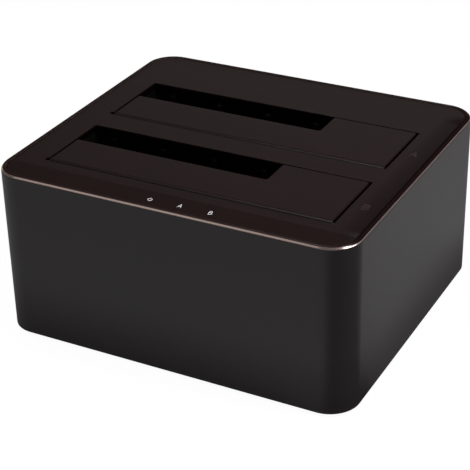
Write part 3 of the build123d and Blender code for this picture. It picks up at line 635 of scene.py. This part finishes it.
def clear_guide(board):
    """Clear acrylic with faint flow marks."""
    flow = board.noise(300.0, stretch=(1.0, 1.0, 0.2))
    return {
        "Base Color": board.blend(flow, shade((0.86, 0.9, 0.9)), shade((0.95, 0.97, 0.97))),
        "Roughness": 0.06 + 0.06 * flow,
        "Transmission Weight": 0.9,
        "IOR": 1.49,
    }


def dusty_rubber(board):
    """Matt black rubber with a dusty bloom in its low spots."""
    pores = board.noise(1800.0, 3.0, 0.6)
    bloom = board.rise(board.noise(220.0, 3.0, 0.6), 0.45, 0.75)
    return {
        "Base Color": board.blend(0.6 * bloom, shade((0.012, 0.012, 0.012)), shade((0.05, 0.048, 0.045))),
        "Roughness": 0.75 + 0.15 * bloom,
        "Normal": board.bump(pores, 0.02 * MM, 0.6),
        "Specular IOR Level": 0.3,
    }


def can_sleeve(board, high):
    """Printed sleeve round the can and a bare aluminium top."""
    top = board.rise(board.split(board.place())[2], high - 0.6 * MM, high - 0.4 * MM)
    marks = board.noise(900.0, stretch=(1.0, 1.0, 0.05))
    return {
        "Base Color": board.blend(top, shade((0.012, 0.016, 0.03)), shade((0.72, 0.72, 0.73))),
        "Metallic": top,
        "Roughness": 0.35 + 0.1 * marks - 0.05 * top,
    }


# Operators


class DOCK_OT_sleeve(bpy.types.Operator):
    """Build the case sleeve with its bevelled rim and the window for the rear panel"""

    bl_idname = "dock.sleeve"
    bl_label = "Case sleeve"

    def window(self, case, count, reach, level):
        """Loop round the rear window, grown outwards by reach and standing at y = level.

        It runs from the middle of the left side (seen with +X to the left) under the window to the
        middle of the right side, and back over the top, with count points for each half.
        """
        half_x, half_z = case.window_width / 2 + reach, case.window_height / 2 + reach
        radius = case.window_corner + reach
        turn, mirror = quarter(6), np.array([-1.0, 1.0])
        fan = np.stack([np.cos(turn), -np.sin(turn)], axis=1)
        corner = np.array([half_x - radius, radius - half_z]) + radius * fan
        just_below = -0.02 * half_z
        upright = np.linspace((half_x, just_below), corner[0], 4)[:-1]
        between = count - 2 * (len(corner) + len(upright))
        bottom = np.linspace(corner[-1], corner[-1] * mirror, between + 2)[1:-1]
        under = np.concatenate([upright, corner, bottom, corner[::-1] * mirror, upright[::-1] * mirror])
        loop = np.concatenate([under, -under])
        return np.stack([loop[:, 0], np.full(len(loop), level), case.window_level + loop[:, 1]], axis=1)

    def execute(self, context):
        case = context.scene.dock.case
        low, high = SLEEVE
        guard, corner_steps = 0.004, 28
        shares = np.concatenate([[-1.0, guard - 1.0], np.linspace(-0.96, 0.96, 27), [1.0 - guard, 1.0]])
        outline, normals = round_rectangle(
            (high.x - low.x) / 2, (high.y - low.y) / 2, case.corner, shares, corner_steps)
        # Section through the wall as (distance in from the outside, height, radius of the corner)
        rim, wall, top, bottom = case.rim, case.wall, high.z, low.z
        corners = np.array([
            (0.0, bottom, 1.5 * case.edge),
            (0.0, top - case.bevel, case.bevel_round),
            (case.bevel, top, case.bevel_round),
            (rim - case.inner_bevel, top, case.edge / 3),
            (rim, top - case.inner_bevel, case.edge / 3),
            (rim, top - case.cover_seat, 0.0),
            (wall, top - case.cover_seat, 0.0),
            (wall, bottom + case.base_seat, 0.0),
            (rim, bottom + case.base_seat, 0.0),
            (rim, bottom, case.edge),
        ])
        section, sides = rounded(corners[:, :2], corners[:, 2], 0.03 * MM, {0: 2, 6: 2})
        rows, columns = len(outline), len(section)
        flat = outline[:, None, :] - section[None, :, :1] * normals[:, None, :] + np.array(centre(SLEEVE)[:2])
        level = np.repeat(section[None, :, 1:], rows, axis=0)
        points = np.concatenate([flat, level], axis=-1).reshape(-1, 3)
        faces = grid_faces(rows, columns, wrap_rows=True)
        # The back side's points follow two sides and two corners of the outline
        start = 2 * (len(shares) + corner_steps - 1)
        stop = start + len(shares) - 1
        numbers = np.arange(len(points)).reshape(rows, columns)[start:stop + 1]
        outside, inside = (numbers[:, first:last + 1] for first, last in sides.values())
        faces = faces[~np.isin(faces[:, 0], [outside[:-1, :-1], inside[:-1, :-1]])]

        def border(block):
            """Numbers round a block of the back wall, from half way up the left side as in window()."""
            ring = [block[:, 0], block[-1, 1:-1], block[::-1, -1], block[0, -2:0:-1]]
            return np.roll(np.concatenate(ring), 1)

        outer_ring, inner_ring = border(outside), border(inside[:, ::-1])
        size, edge, back = len(outer_ring), 2 * case.edge, high.y
        steps = [(edge * 1.3, back)]
        steps += [(edge * (1 - math.sin(turn)), back - edge * (1 - math.cos(turn))) for turn in quarter(3)]
        steps.append((0.0, back - wall))
        loops = np.concatenate([self.window(case, size // 2, *step) for step in steps])
        rings = [outer_ring, *(len(points) + np.arange(len(loops)).reshape(-1, size)), inner_ring]
        bands = np.concatenate(rings)[grid_faces(len(rings), size)]
        shape = (np.concatenate([points, loops]), np.concatenate([faces, bands]))
        satin = make_material("satin_case", satin_case, case)
        add_piece("case_sleeve", shape, satin, ["outer_sleeve"])
        return {"FINISHED"}


class DOCK_OT_cover(bpy.types.Operator):
    """Build the cover plate with its crease and the moulded letters beside the bays"""

    bl_idname = "dock.cover"
    bl_label = "Cover"

    def form(self, board):
        """Relief that rolls down a little at the right side, and painted shade on the walls of the openings
        and near the right rim.
        """
        case = bpy.context.scene.dock.case
        low, high = COVER
        x, y, z = board.split(board.place())
        half = ((high.x - low.x) / 2, (high.y - low.y) / 2)
        inwards = board.from_edge((x, y), centre(COVER), half, case.corner - case.rim)
        near = 1 - (inwards * (1 / case.roll_width)).calc("MINIMUM", 1.0)
        near = near * board.rise(x, high.x - 25.0 * MM, high.x - 10.0 * MM)
        near = near * board.rise(y, low.y + 2.0 * MM, low.y + 12.0 * MM)
        near = near * (1 - board.rise(y, high.y - 14.0 * MM, high.y - 4.0 * MM))
        slope = (SLEEVE[0].y + BAND_RUN - y) * (BAND_DROP / BAND_RUN)
        level = high.z - slope.calc("MAXIMUM", 0.0)
        # Painted shade on the walls below the top, and at half strength on the band near the right rim
        light = board.rise(z - level, -0.6 * MM, -0.25 * MM) * (1 - 0.5 * near)
        # Painted shade on the cover's edge along each hinge, beside the gap
        for side in "ab":
            low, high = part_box(f"door_{side}")
            away = (y - (low.y - 0.5 * MM)).calc("ABSOLUTE")
            beside = board.rise(x, low.x, low.x + 0.5 * MM) * (1 - board.rise(x, high.x - 0.5 * MM, high.x))
            light = light * (1 - 0.75 * beside * (1 - board.rise(away, 0.25 * MM, 0.6 * MM)))
        return near * near * (-case.roll_drop / MM), 1 - light

    def execute(self, context):
        case, marks = context.scene.dock.case, context.scene.dock.marks
        satin = make_material("cover_satin", moulded, case.cover_colour, 0.33, 0.1, form=self.form)
        plate = merged_copy("cover_plate", "top_cover", satin)
        middles = edge_middles(plate.data)
        away = np.abs(middles[:, 1:] - np.array([SLEEVE[0].y + BAND_RUN, COVER[1].z]))
        crease = (away < 0.01 * MM).all(axis=1)
        plate.data.attributes["sharp_edge"].data.foreach_set("value", read_sharp(plate.data) | crease)
        soften(plate, lambda edges: edges[:, 2] > cover_level(edges[:, 1]) - SURFACE_PLAY, 0.14 * MM)
        # Painted highlight: the letters are moulded in the cover's plastic, yet take 2.2 times its colour to
        # read lighter
        letter_colour_painted_highlight = [2.2 * part for part in case.cover_colour]
        letter_satin = make_material("letter_satin", moulded, letter_colour_painted_highlight, 0.3, 0.2)
        for letter, place in (("A", (57.0, 13.4)), ("B", (57.3, -27.7))):
            points, faces = marked(letter, np.array(place) * MM, marks.bay_size, 0.22 * MM, 0.05 * MM)
            points[:, 2] += cover_level(points[:, 1])
            add_piece(f"bay_mark_{letter.lower()}", (points, faces), letter_satin)
        return {"FINISHED"}


class DOCK_OT_flaps(bpy.types.Operator):
    """Build the two L-shaped flaps with softly rounded edges"""

    bl_idname = "dock.flaps"
    bl_label = "Flaps"

    def form(self, board):
        """No further relief, and painted shade below the top, where the hinge and the ends run close to the
        cover.
        """
        height = board.split(board.place())[2]
        return 0.0, 1 - board.rise(height, COVER[1].z - 0.5 * MM, COVER[1].z - 0.2 * MM)

    def execute(self, context):
        colour = context.scene.dock.case.flap_colour
        satin = make_material("flap_satin", moulded, colour, 0.33, 0.1, form=self.form)
        for side in "ab":
            skin = merged_copy(f"flap_skin_{side}", f"door_{side}", satin, f"flap_{side}")
            soften(skin, lambda edges: edges[:, 2] > COVER[1].z - SURFACE_PLAY, 0.12 * MM)
        return {"FINISHED"}


class DOCK_OT_marks(bpy.types.Operator):
    """Lay the lit marks on the front band and a power symbol above the rear button"""

    bl_idname = "dock.marks"
    bl_label = "Marks"

    def execute(self, context):
        marks = context.scene.dock.marks
        print_white = make_material("lit_mark", lit_mark, marks.colour)
        for count, glyph in enumerate(("power", "A", "B")):
            middle = (marks.first_x + count * marks.pitch, SLEEVE[0].y + marks.from_front)
            points, faces = marked(glyph, middle, marks.size, marks.pen)
            points[:, 2] += cover_level(points[:, 1])
            add_piece(f"front_mark_{glyph.lower()}", (points, faces), print_white)
        panel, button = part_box("rear_panel"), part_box("power_button")
        points, faces = marked("power", (0.0, 0.0), 0.9 * marks.size, 0.7 * marks.pen)
        level = (panel[1].z + button[1].z) / 2 - 0.7 * MM
        upright = [centre(button)[0] - points[:, 0], panel[1].y + points[:, 2], level + points[:, 1]]
        # Painted glow: the rear symbol is print with no lamp behind it, yet takes the glowing lit mark
        # material
        add_piece("rear_mark_power", (np.stack(upright, axis=1), faces), print_white)
        return {"FINISHED"}


class DOCK_OT_springs(bpy.types.Operator):
    """Wind the flap springs and the button spring from round wire"""

    bl_idname = "dock.springs"
    bl_label = "Springs"

    def execute(self, context):
        steel = make_material("spring_wire", metal, (0.62, 0.61, 0.59), 0.3, (0.2, 1.0, 1.0), 1400.0)
        wire, coil, turns = 0.12 * MM, 1.0 * MM, 4
        angle = np.linspace(0.0, 2 * math.pi * turns, 24 * turns + 1)
        for side in "ab":
            low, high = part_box(f"door_spring_{side}")
            start, end, bottom = low.x + wire, high.x - wire, low.z + wire
            coils = np.stack([
                start + (end - start) * angle / angle[-1],
                (low.y + high.y) / 2 + coil * np.sin(angle),
                bottom + coil - coil * np.cos(angle),
            ], axis=1)
            front_leg = np.linspace((start, low.y, bottom), coils[0], 12)[:-1]
            back_leg = np.linspace(coils[-1], (end, high.y, bottom), 12)[1:]
            shape = tube(np.concatenate([front_leg, coils, back_leg]), wire)
            replaced = [f"door_spring_{side}"]
            spring = add_piece(f"wound_spring_{side}", shape, steel, replaced, body=None)
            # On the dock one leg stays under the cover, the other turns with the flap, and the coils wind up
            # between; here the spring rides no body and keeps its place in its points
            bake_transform(spring)
        low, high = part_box("power_switch_spring")
        button = (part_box("power_button")[0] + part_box("power_button")[1]) / 2
        wire, turns, growth = 0.2 * MM, 3, 0.5 * MM
        angle = np.linspace(0.0, 2 * math.pi * turns, 32 * turns + 1)
        radius = 2.5 * MM + growth * angle / (2 * math.pi)
        route = np.stack([
            button.x + radius * np.cos(angle),
            low.y + wire + (high.y - low.y - 2 * wire) * angle / angle[-1],
            button.z + radius * np.sin(angle),
        ], axis=1)
        shape, replaced = tube(route, wire), ["power_switch_spring"]
        spring = add_piece("wound_button_spring", shape, steel, replaced)
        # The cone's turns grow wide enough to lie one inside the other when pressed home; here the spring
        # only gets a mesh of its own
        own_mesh(spring)
        return {"FINISHED"}


class DOCK_OT_underside(bpy.types.Operator):
    """Build the base plate, the feet and the case screws"""

    bl_idname = "dock.underside"
    bl_label = "Underside"

    def screw(self, low, high, radius):
        """Screw that stands head down: a domed head with a cross recess, and a threaded shank.

        The head's face is a polar grid whose height follows the distance from the recess's nearer
        arm. The shank's radius falls and rises once in each pitch of height plus part of a turn.
        """
        head, dome, recess_depth, arm_reach, arm_half = 1.4 * MM, 0.35 * MM, 0.7 * MM, 1.35 * MM, 0.34 * MM
        core, pitch, thread_depth, tip = 1.25 * MM, 0.8 * MM, 0.25 * MM, 1.2 * MM
        round_steps, shank_steps, shank_rows = 96, 24, 60
        reach, turn = np.linspace(0.0, 1.0, 26)[:, None], circle(round_steps)
        x, y = radius * reach * np.cos(turn), radius * reach * np.sin(turn)
        recess = np.clip((arm_half - np.minimum(np.abs(x), np.abs(y))) / (0.1 * MM), 0.0, 1.0)
        recess = recess * np.clip((arm_reach - radius * reach) / (0.2 * MM), 0.0, 1.0)
        face = np.stack([x, y, low + dome * reach**3 + recess_depth * recess], axis=-1)
        rim = [(radius, low + 0.9 * head), (radius - 0.1 * MM, low + head), (core, low + head)]
        face = np.concatenate([face, turned(rim, round_steps)[0]])
        height = np.linspace(low + head, high, shank_rows)[:, None]
        angle = circle(shank_steps)
        phase = (height / pitch - angle / (2 * math.pi)) % 1.0
        thread = (core - thread_depth * np.abs(2 * phase - 1)) * np.clip((high - height) / tip, 0.0, 1.0)
        level = np.repeat(height, shank_steps, axis=1)
        shank = np.stack([thread * np.cos(angle), thread * np.sin(angle), level], axis=-1)
        return gather([surface(face), surface(shank)])

    def corners(self, node, radius, shape):
        """A shape in each of the four places of a node's round pieces."""
        low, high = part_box(node)
        points, faces = shape
        return gather([(points + np.array([x, y, 0.0]), faces) for x in (low.x + radius, high.x - radius)
                       for y in (low.y + radius, high.y - radius)])

    def execute(self, context):
        plastic = make_material("base_plastic", moulded, context.scene.dock.case.inner_colour, 0.5, 0.3, 0.6)
        shell = merged_copy("base_shell", "base_plate", plastic)
        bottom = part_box("base_plate")[0].z
        soften(shell, lambda edges: edges[:, 2] < bottom + SURFACE_PLAY, 0.12 * MM)
        low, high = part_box("rubber_feet")
        radius, hollow = 5.5 * MM, 0.12 * MM
        share = np.linspace(0.0, 1.0, 8)
        dish = [(0.8 * radius * part, low.z + hollow * (1 - part**2)) for part in share]
        back = [(radius, high.z - 0.02 * MM), (radius, high.z), (0.0, high.z)]
        foot = turned(dish + bend(radius, low.z, 0.35 * MM, -1) + back, 72)
        feet = self.corners("rubber_feet", radius, foot)
        rubber = make_material("foot_rubber", dusty_rubber)
        add_piece("round_feet", feet, rubber, ["rubber_feet"])
        low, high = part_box("base_screws")
        radius = 2.4 * MM
        screws = self.corners("base_screws", radius, self.screw(low.z, high.z, radius))
        zinc = make_material("screw_zinc", metal, (0.35, 0.34, 0.33), 0.35)
        add_piece("cross_screws", screws, zinc, ["base_screws"])
        return {"FINISHED"}


class DOCK_OT_rear(bpy.types.Operator):
    """Build the rear panel, the two inlets and the dished button"""

    bl_idname = "dock.rear"
    bl_label = "Rear panel"

    def blades(self, gold):
        """Contact blades on both faces of the data inlet's lower tongue, and below its upper blade."""
        low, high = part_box("usb_port_tongue")
        middle, tongue_top = (low.x + high.x) / 2, low.z + 3.2 * MM
        corner = np.array([(1.0, 0.5), (0.9, 1.0), (-0.9, 1.0), (-1.0, 0.5)])
        section = np.concatenate([-corner, corner])
        places = [(x, z, 0.5, 0.7) for z in (tongue_top, low.z) for x in (-1.25, 1.25)]
        places += [(x, high.z, 0.25, 0.5) for x in (-2.0, -1.0, 0.0, 1.0, 2.0)]
        shapes = []
        for x, z, width, front in places:
            start, end = ((middle + x * MM, y, z) for y in (low.y + 0.2 * MM, high.y - front * MM))
            blade = section * np.array([width, 0.08]) * MM
            shapes.append(carried(np.linspace(start, end, 6), blade, (0.0, 0.0, 1.0)))
        add_piece("inlet_contacts", gather(shapes), gold)

    def execute(self, context):
        colour = context.scene.dock.case.inner_colour
        plastic = make_material("panel_plastic", moulded, colour, 0.45, 0.3, 0.5)
        nickel = make_material("shell_nickel", metal, (0.68, 0.66, 0.62), 0.28, (1.0, 0.05, 1.0))
        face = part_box("rear_panel")[1].y
        for name, node, finish, slot in (
            ("panel_plate", "rear_panel", plastic, "inner_black"),
            ("inlet_shell", "usb_port_shell", nickel, "spring_steel"),
            ("jack_shell", "dc_jack_body", plastic, "inner_black"),
        ):
            shell = merged_copy(name, node, finish)
            soften(shell, lambda edges: edges[:, 1] > face - SURFACE_PLAY, 0.15 * MM)
        self.blades(make_material("contact_gilt", metal, (0.83, 0.6, 0.25), 0.24))
        low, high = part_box("dc_jack_pin")
        radius = (high.x - low.x) / 2
        profile = bend(radius, high.y, radius, 1) + [(radius, low.y), (0.0, low.y)]
        x, _, z = centre((low, high))
        pin = turned(profile, 40, (x, 0.0, z), axis=1)
        add_piece("jack_pin", pin, nickel, ["dc_jack_pin"])
        low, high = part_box("power_button")
        radius, collar, thick, hollow = 4.0 * MM, (high.x - low.x) / 2, 1.2 * MM, 0.45 * MM
        share = np.linspace(0.0, 1.0, 12)
        dish = [(3.3 * MM * part, high.y - hollow * (1 - part**2) ** 2) for part in share]
        back = [(radius, low.y + thick), (collar, low.y + thick), (collar, low.y), (0.0, low.y)]
        x, _, z = centre((low, high))
        cap = turned(dish + bend(radius, high.y, 0.4 * MM, 1) + back, 72, (x, 0.0, z), axis=1)
        gloss = make_material("button_plastic", moulded, colour, 0.3, 0.4, 0.5)
        add_piece("button_cap", cap, gloss, ["power_button"], "button")
        return {"FINISHED"}


class DOCK_OT_inside(bpy.types.Operator):
    """Finish the board, the wells, the sockets and the small pieces inside"""

    bl_idname = "dock.inside"
    bl_label = "Inside"

    def execute(self, context):
        colour = context.scene.dock.case.inner_colour
        well = make_material("well_plastic", moulded, colour, 0.65, 0.06, 0.6)
        socket = make_material("socket_plastic", moulded, colour, 0.42, 0.4, 0.4)
        steel = make_material("pin_steel", metal, (0.62, 0.61, 0.59), 0.22, (0.1, 1.0, 1.0))
        gold = make_material("socket_gilt", metal, (0.83, 0.6, 0.25), 0.22)
        finishes = {
            "bay_well_a": well, "bay_well_b": well,
            "sata_socket_a": socket, "sata_socket_b": socket,
            "sata_contacts_a": gold, "sata_contacts_b": gold,
            "main_board": make_material("lacquered_board", lacquered_board),
            "controller_chips": make_material("chip_epoxy", moulded, (0.012, 0.012, 0.013), 0.5, 0.4, 0.25),
            "inductors": make_material("coil_ferrite", metal, (0.09, 0.085, 0.08), 0.55),
            "status_leds": make_material("lit_mark", lit_mark, context.scene.dock.marks.colour),
            "light_pipe": make_material("clear_guide", clear_guide),
            "board_screws": steel, "usb_port_tongue": socket,
            "power_switch_body": socket, "power_switch_plunger": well,
        }
        for node, finish in finishes.items():
            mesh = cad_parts[node].data
            mesh.materials.clear()
            mesh.materials.append(finish)
        for side in "ab":
            merged_copy(f"round_pin_{side}", f"hinge_pin_{side}", steel)
        low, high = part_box("capacitors")
        radius, middle = 4.0 * MM, (low.y + high.y) / 2
        # Distances in from the can's side and up from its foot, and then up from its top
        foot = [(4.0, 0.0), (0.2, 0.0), (0.0, 0.3), (0.0, 1.3), (0.35, 1.7), (0.0, 2.1)]
        rim = [(0.0, -0.4), (0.15, -0.1), (0.5, 0.0), (0.7, -0.15), (4.0, -0.15)]
        can = [(radius - inwards * MM, level + up * MM)
               for level, outline in ((low.z, foot), (high.z, rim)) for inwards, up in outline]
        cans = [turned(can, 48, (x, middle, 0.0)) for x in (low.x + radius, high.x - radius)]
        foil = make_material("can_sleeve", can_sleeve, high.z)
        add_piece("capacitor_cans", gather(cans), foil, ["capacitors"])
        return {"FINISHED"}


class DOCK_OT_stage(bpy.types.Operator):
    """Set up the floor, the surroundings, the soft lamps and the camera"""

    bl_idname = "dock.stage"
    bl_label = "Studio"

    def floor(self, studio):
        """Pale floor that also shows as background, and keeps the shadow of what stands on it."""
        bpy.ops.mesh.primitive_plane_add(size=16.0)
        floor = bpy.context.object
        floor.name = "floor"
        material = bpy.data.materials.new("pale_floor")
        board = NodeBoard(material)
        seen, glossy, through = board.outputs(
            board.node("ShaderNodeLightPath"), "Is Camera Ray", "Is Glossy Ray", "Is Transmission Ray")
        # Painted dark reflection: beyond the case's right front corner the floor darkens for reflected rays
        # only, so the case mirrors it darker there
        way = board.vector("NORMALIZE", board.vector("SUBTRACT", board.place(), studio.painted_dark_from))
        towards = board.vector("DOT_PRODUCT", way, (0.966, -0.259, 0.0), out=1)
        painted_dark = 0.85 * board.rise(towards, 0.12, 0.8)
        cloud = board.noise(1.5)
        tint = board.blend(cloud, shade(studio.floor_colour, 0.99), shade(studio.floor_colour, 1.01))
        tint = board.blend(painted_dark * glossy, tint, shade(WHITE, 0.0))
        matt = board.node("ShaderNodeBsdfDiffuse", None, {"Color": tint})
        glow = board.node("ShaderNodeEmission", None, {"Color": shade(WHITE), "Strength": 1.04})
        share = 0.92 * seen + (0.25 - 0.4 * painted_dark) * glossy + 0.25 * through
        mixed = board.node("ShaderNodeMixShader", None, {0: share, 1: matt, 2: glow})
        board.node("ShaderNodeOutputMaterial", None, {"Surface": mixed})
        floor.data.materials.append(material)

    def surroundings(self, context, studio):
        """World that is white at the horizon and fades overhead."""
        world = context.scene.world or bpy.data.worlds.new("studio")
        context.scene.world = world
        board = NodeBoard(world)
        sideways, away, height = board.split(board.node("ShaderNodeTexCoord", out="Generated"))

        def above(low, high):
            """0 below one angle over the horizon, in degrees, and 1 above another."""
            return board.rise(height, math.sin(math.radians(low)), math.sin(math.radians(high)))

        left = 1 - board.rise(sideways, 0.0, 0.4)
        beyond = 1 - board.rise(sideways, -0.65, -0.36)
        glow = (0.4 + 0.4 * left) * (1 - above(1, 9)) + 0.22 * (1 - above(26, 38)) * left * (1 - 0.9 * beyond)
        glow = glow + 0.3 * above(52, 62) * board.rise(away, -0.3, 0.1)
        strength = studio.sky_high + (studio.sky_low - studio.sky_high) * glow
        sky = board.node("ShaderNodeBackground", None, {"Color": shade(WHITE), "Strength": strength})
        board.node("ShaderNodeOutputWorld", None, {"Surface": sky})

    def stand(self, name, data, place, across, upwards, back):
        """Lamp or camera at a place, turned to look against back."""
        made = bpy.data.objects.new(name, data)
        made.matrix_world = Matrix.Translation(place) @ Matrix((across, upwards, back)).transposed().to_4x4()
        bpy.context.scene.collection.objects.link(made)
        return made

    def lamp(self, name, direction, distance, size, power, colour=WHITE):
        """Soft rectangular lamp at a distance from the object's middle, facing it."""
        light = bpy.data.lights.new(name, "AREA")
        light.shape = "RECTANGLE"
        light.size, light.size_y = size
        light.energy, light.color = power, colour
        way = Vector(direction).normalized()
        upwards = way.cross(Vector((1.0, 0.0, 0.0))).normalized()
        place = way * distance + Vector((0.0, 0.0, 0.03))
        lamp = self.stand(name, light, place, upwards.cross(way), upwards, way)

    def camera(self, scene, studio):
        """Camera at its place, turned by azimuth and elevation and rolled round its view."""
        lens = bpy.data.cameras.new("camera")
        lens.lens, lens.sensor_width, lens.sensor_fit = studio.lens, 36.0, "HORIZONTAL"
        lens.clip_start, lens.clip_end = 0.01, 50.0
        turn, height, roll = studio.azimuth, studio.elevation, studio.roll
        level = math.cos(height)
        back = Vector((math.sin(turn) * level, -math.cos(turn) * level, math.sin(height)))
        right = Vector((math.cos(turn), math.sin(turn), 0.0))
        up = back.cross(right)
        across = math.cos(roll) * right + math.sin(roll) * up
        upwards = math.cos(roll) * up - math.sin(roll) * right
        scene.camera = self.stand("camera", lens, studio.place, across, upwards, back)

    def execute(self, context):
        studio = context.scene.dock.studio
        self.floor(studio)
        self.surroundings(context, studio)
        self.lamp("key_lamp", (0.74, 0.04, 0.72), 0.5, (0.3, 0.22), studio.key_power)
        self.lamp("strip_lamp", (-0.176, -0.09, 0.984), 0.58, (0.08, 0.16), studio.strip_power)
        self.lamp("fill_lamp", (-0.46, -0.25, 0.86), 1.0, (0.4, 0.8), studio.fill_power, (1.0, 0.91, 0.88))
        self.camera(context.scene, studio)
        context.scene.view_settings.view_transform = "Standard"
        return {"FINISHED"}


class DOCK_PT_panel(bpy.types.Panel):
    """Buttons for each piece of the docking station, and its settings"""

    bl_idname = "DOCK_PT_panel"
    bl_label = "Docking station"
    bl_space_type = "VIEW_3D"
    bl_region_type = "UI"
    bl_category = "Dock"

    def draw(self, context):
        for operator in OPERATORS:
            self.layout.operator(operator.bl_idname)
        for name in ("case", "marks", "studio"):
            group = getattr(context.scene.dock, name)
            box = self.layout.box()
            box.label(text=name.title())
            for key in type(group).__annotations__:
                box.prop(group, key)


OPERATORS = (
    DOCK_OT_sleeve, DOCK_OT_cover, DOCK_OT_flaps, DOCK_OT_marks, DOCK_OT_springs,
    DOCK_OT_underside, DOCK_OT_rear, DOCK_OT_inside, DOCK_OT_stage,
)
CLASSES = (CaseSettings, MarkSettings, StudioSettings, DockSettings, *OPERATORS, DOCK_PT_panel)


def register():
    for kind in CLASSES:
        bpy.utils.register_class(kind)
    bpy.types.Scene.dock = bpy.props.PointerProperty(type=DockSettings)


def unregister():
    del bpy.types.Scene.dock
    for kind in reversed(CLASSES):
        bpy.utils.unregister_class(kind)


def main():
    register()
    for operator in OPERATORS:
        group, name = operator.bl_idname.split(".")
        result = getattr(getattr(bpy.ops, group), name)()
        if result != {"FINISHED"}:
            raise RuntimeError(f"{operator.bl_label} was not finished")


if __name__ == "__main__":
    main()
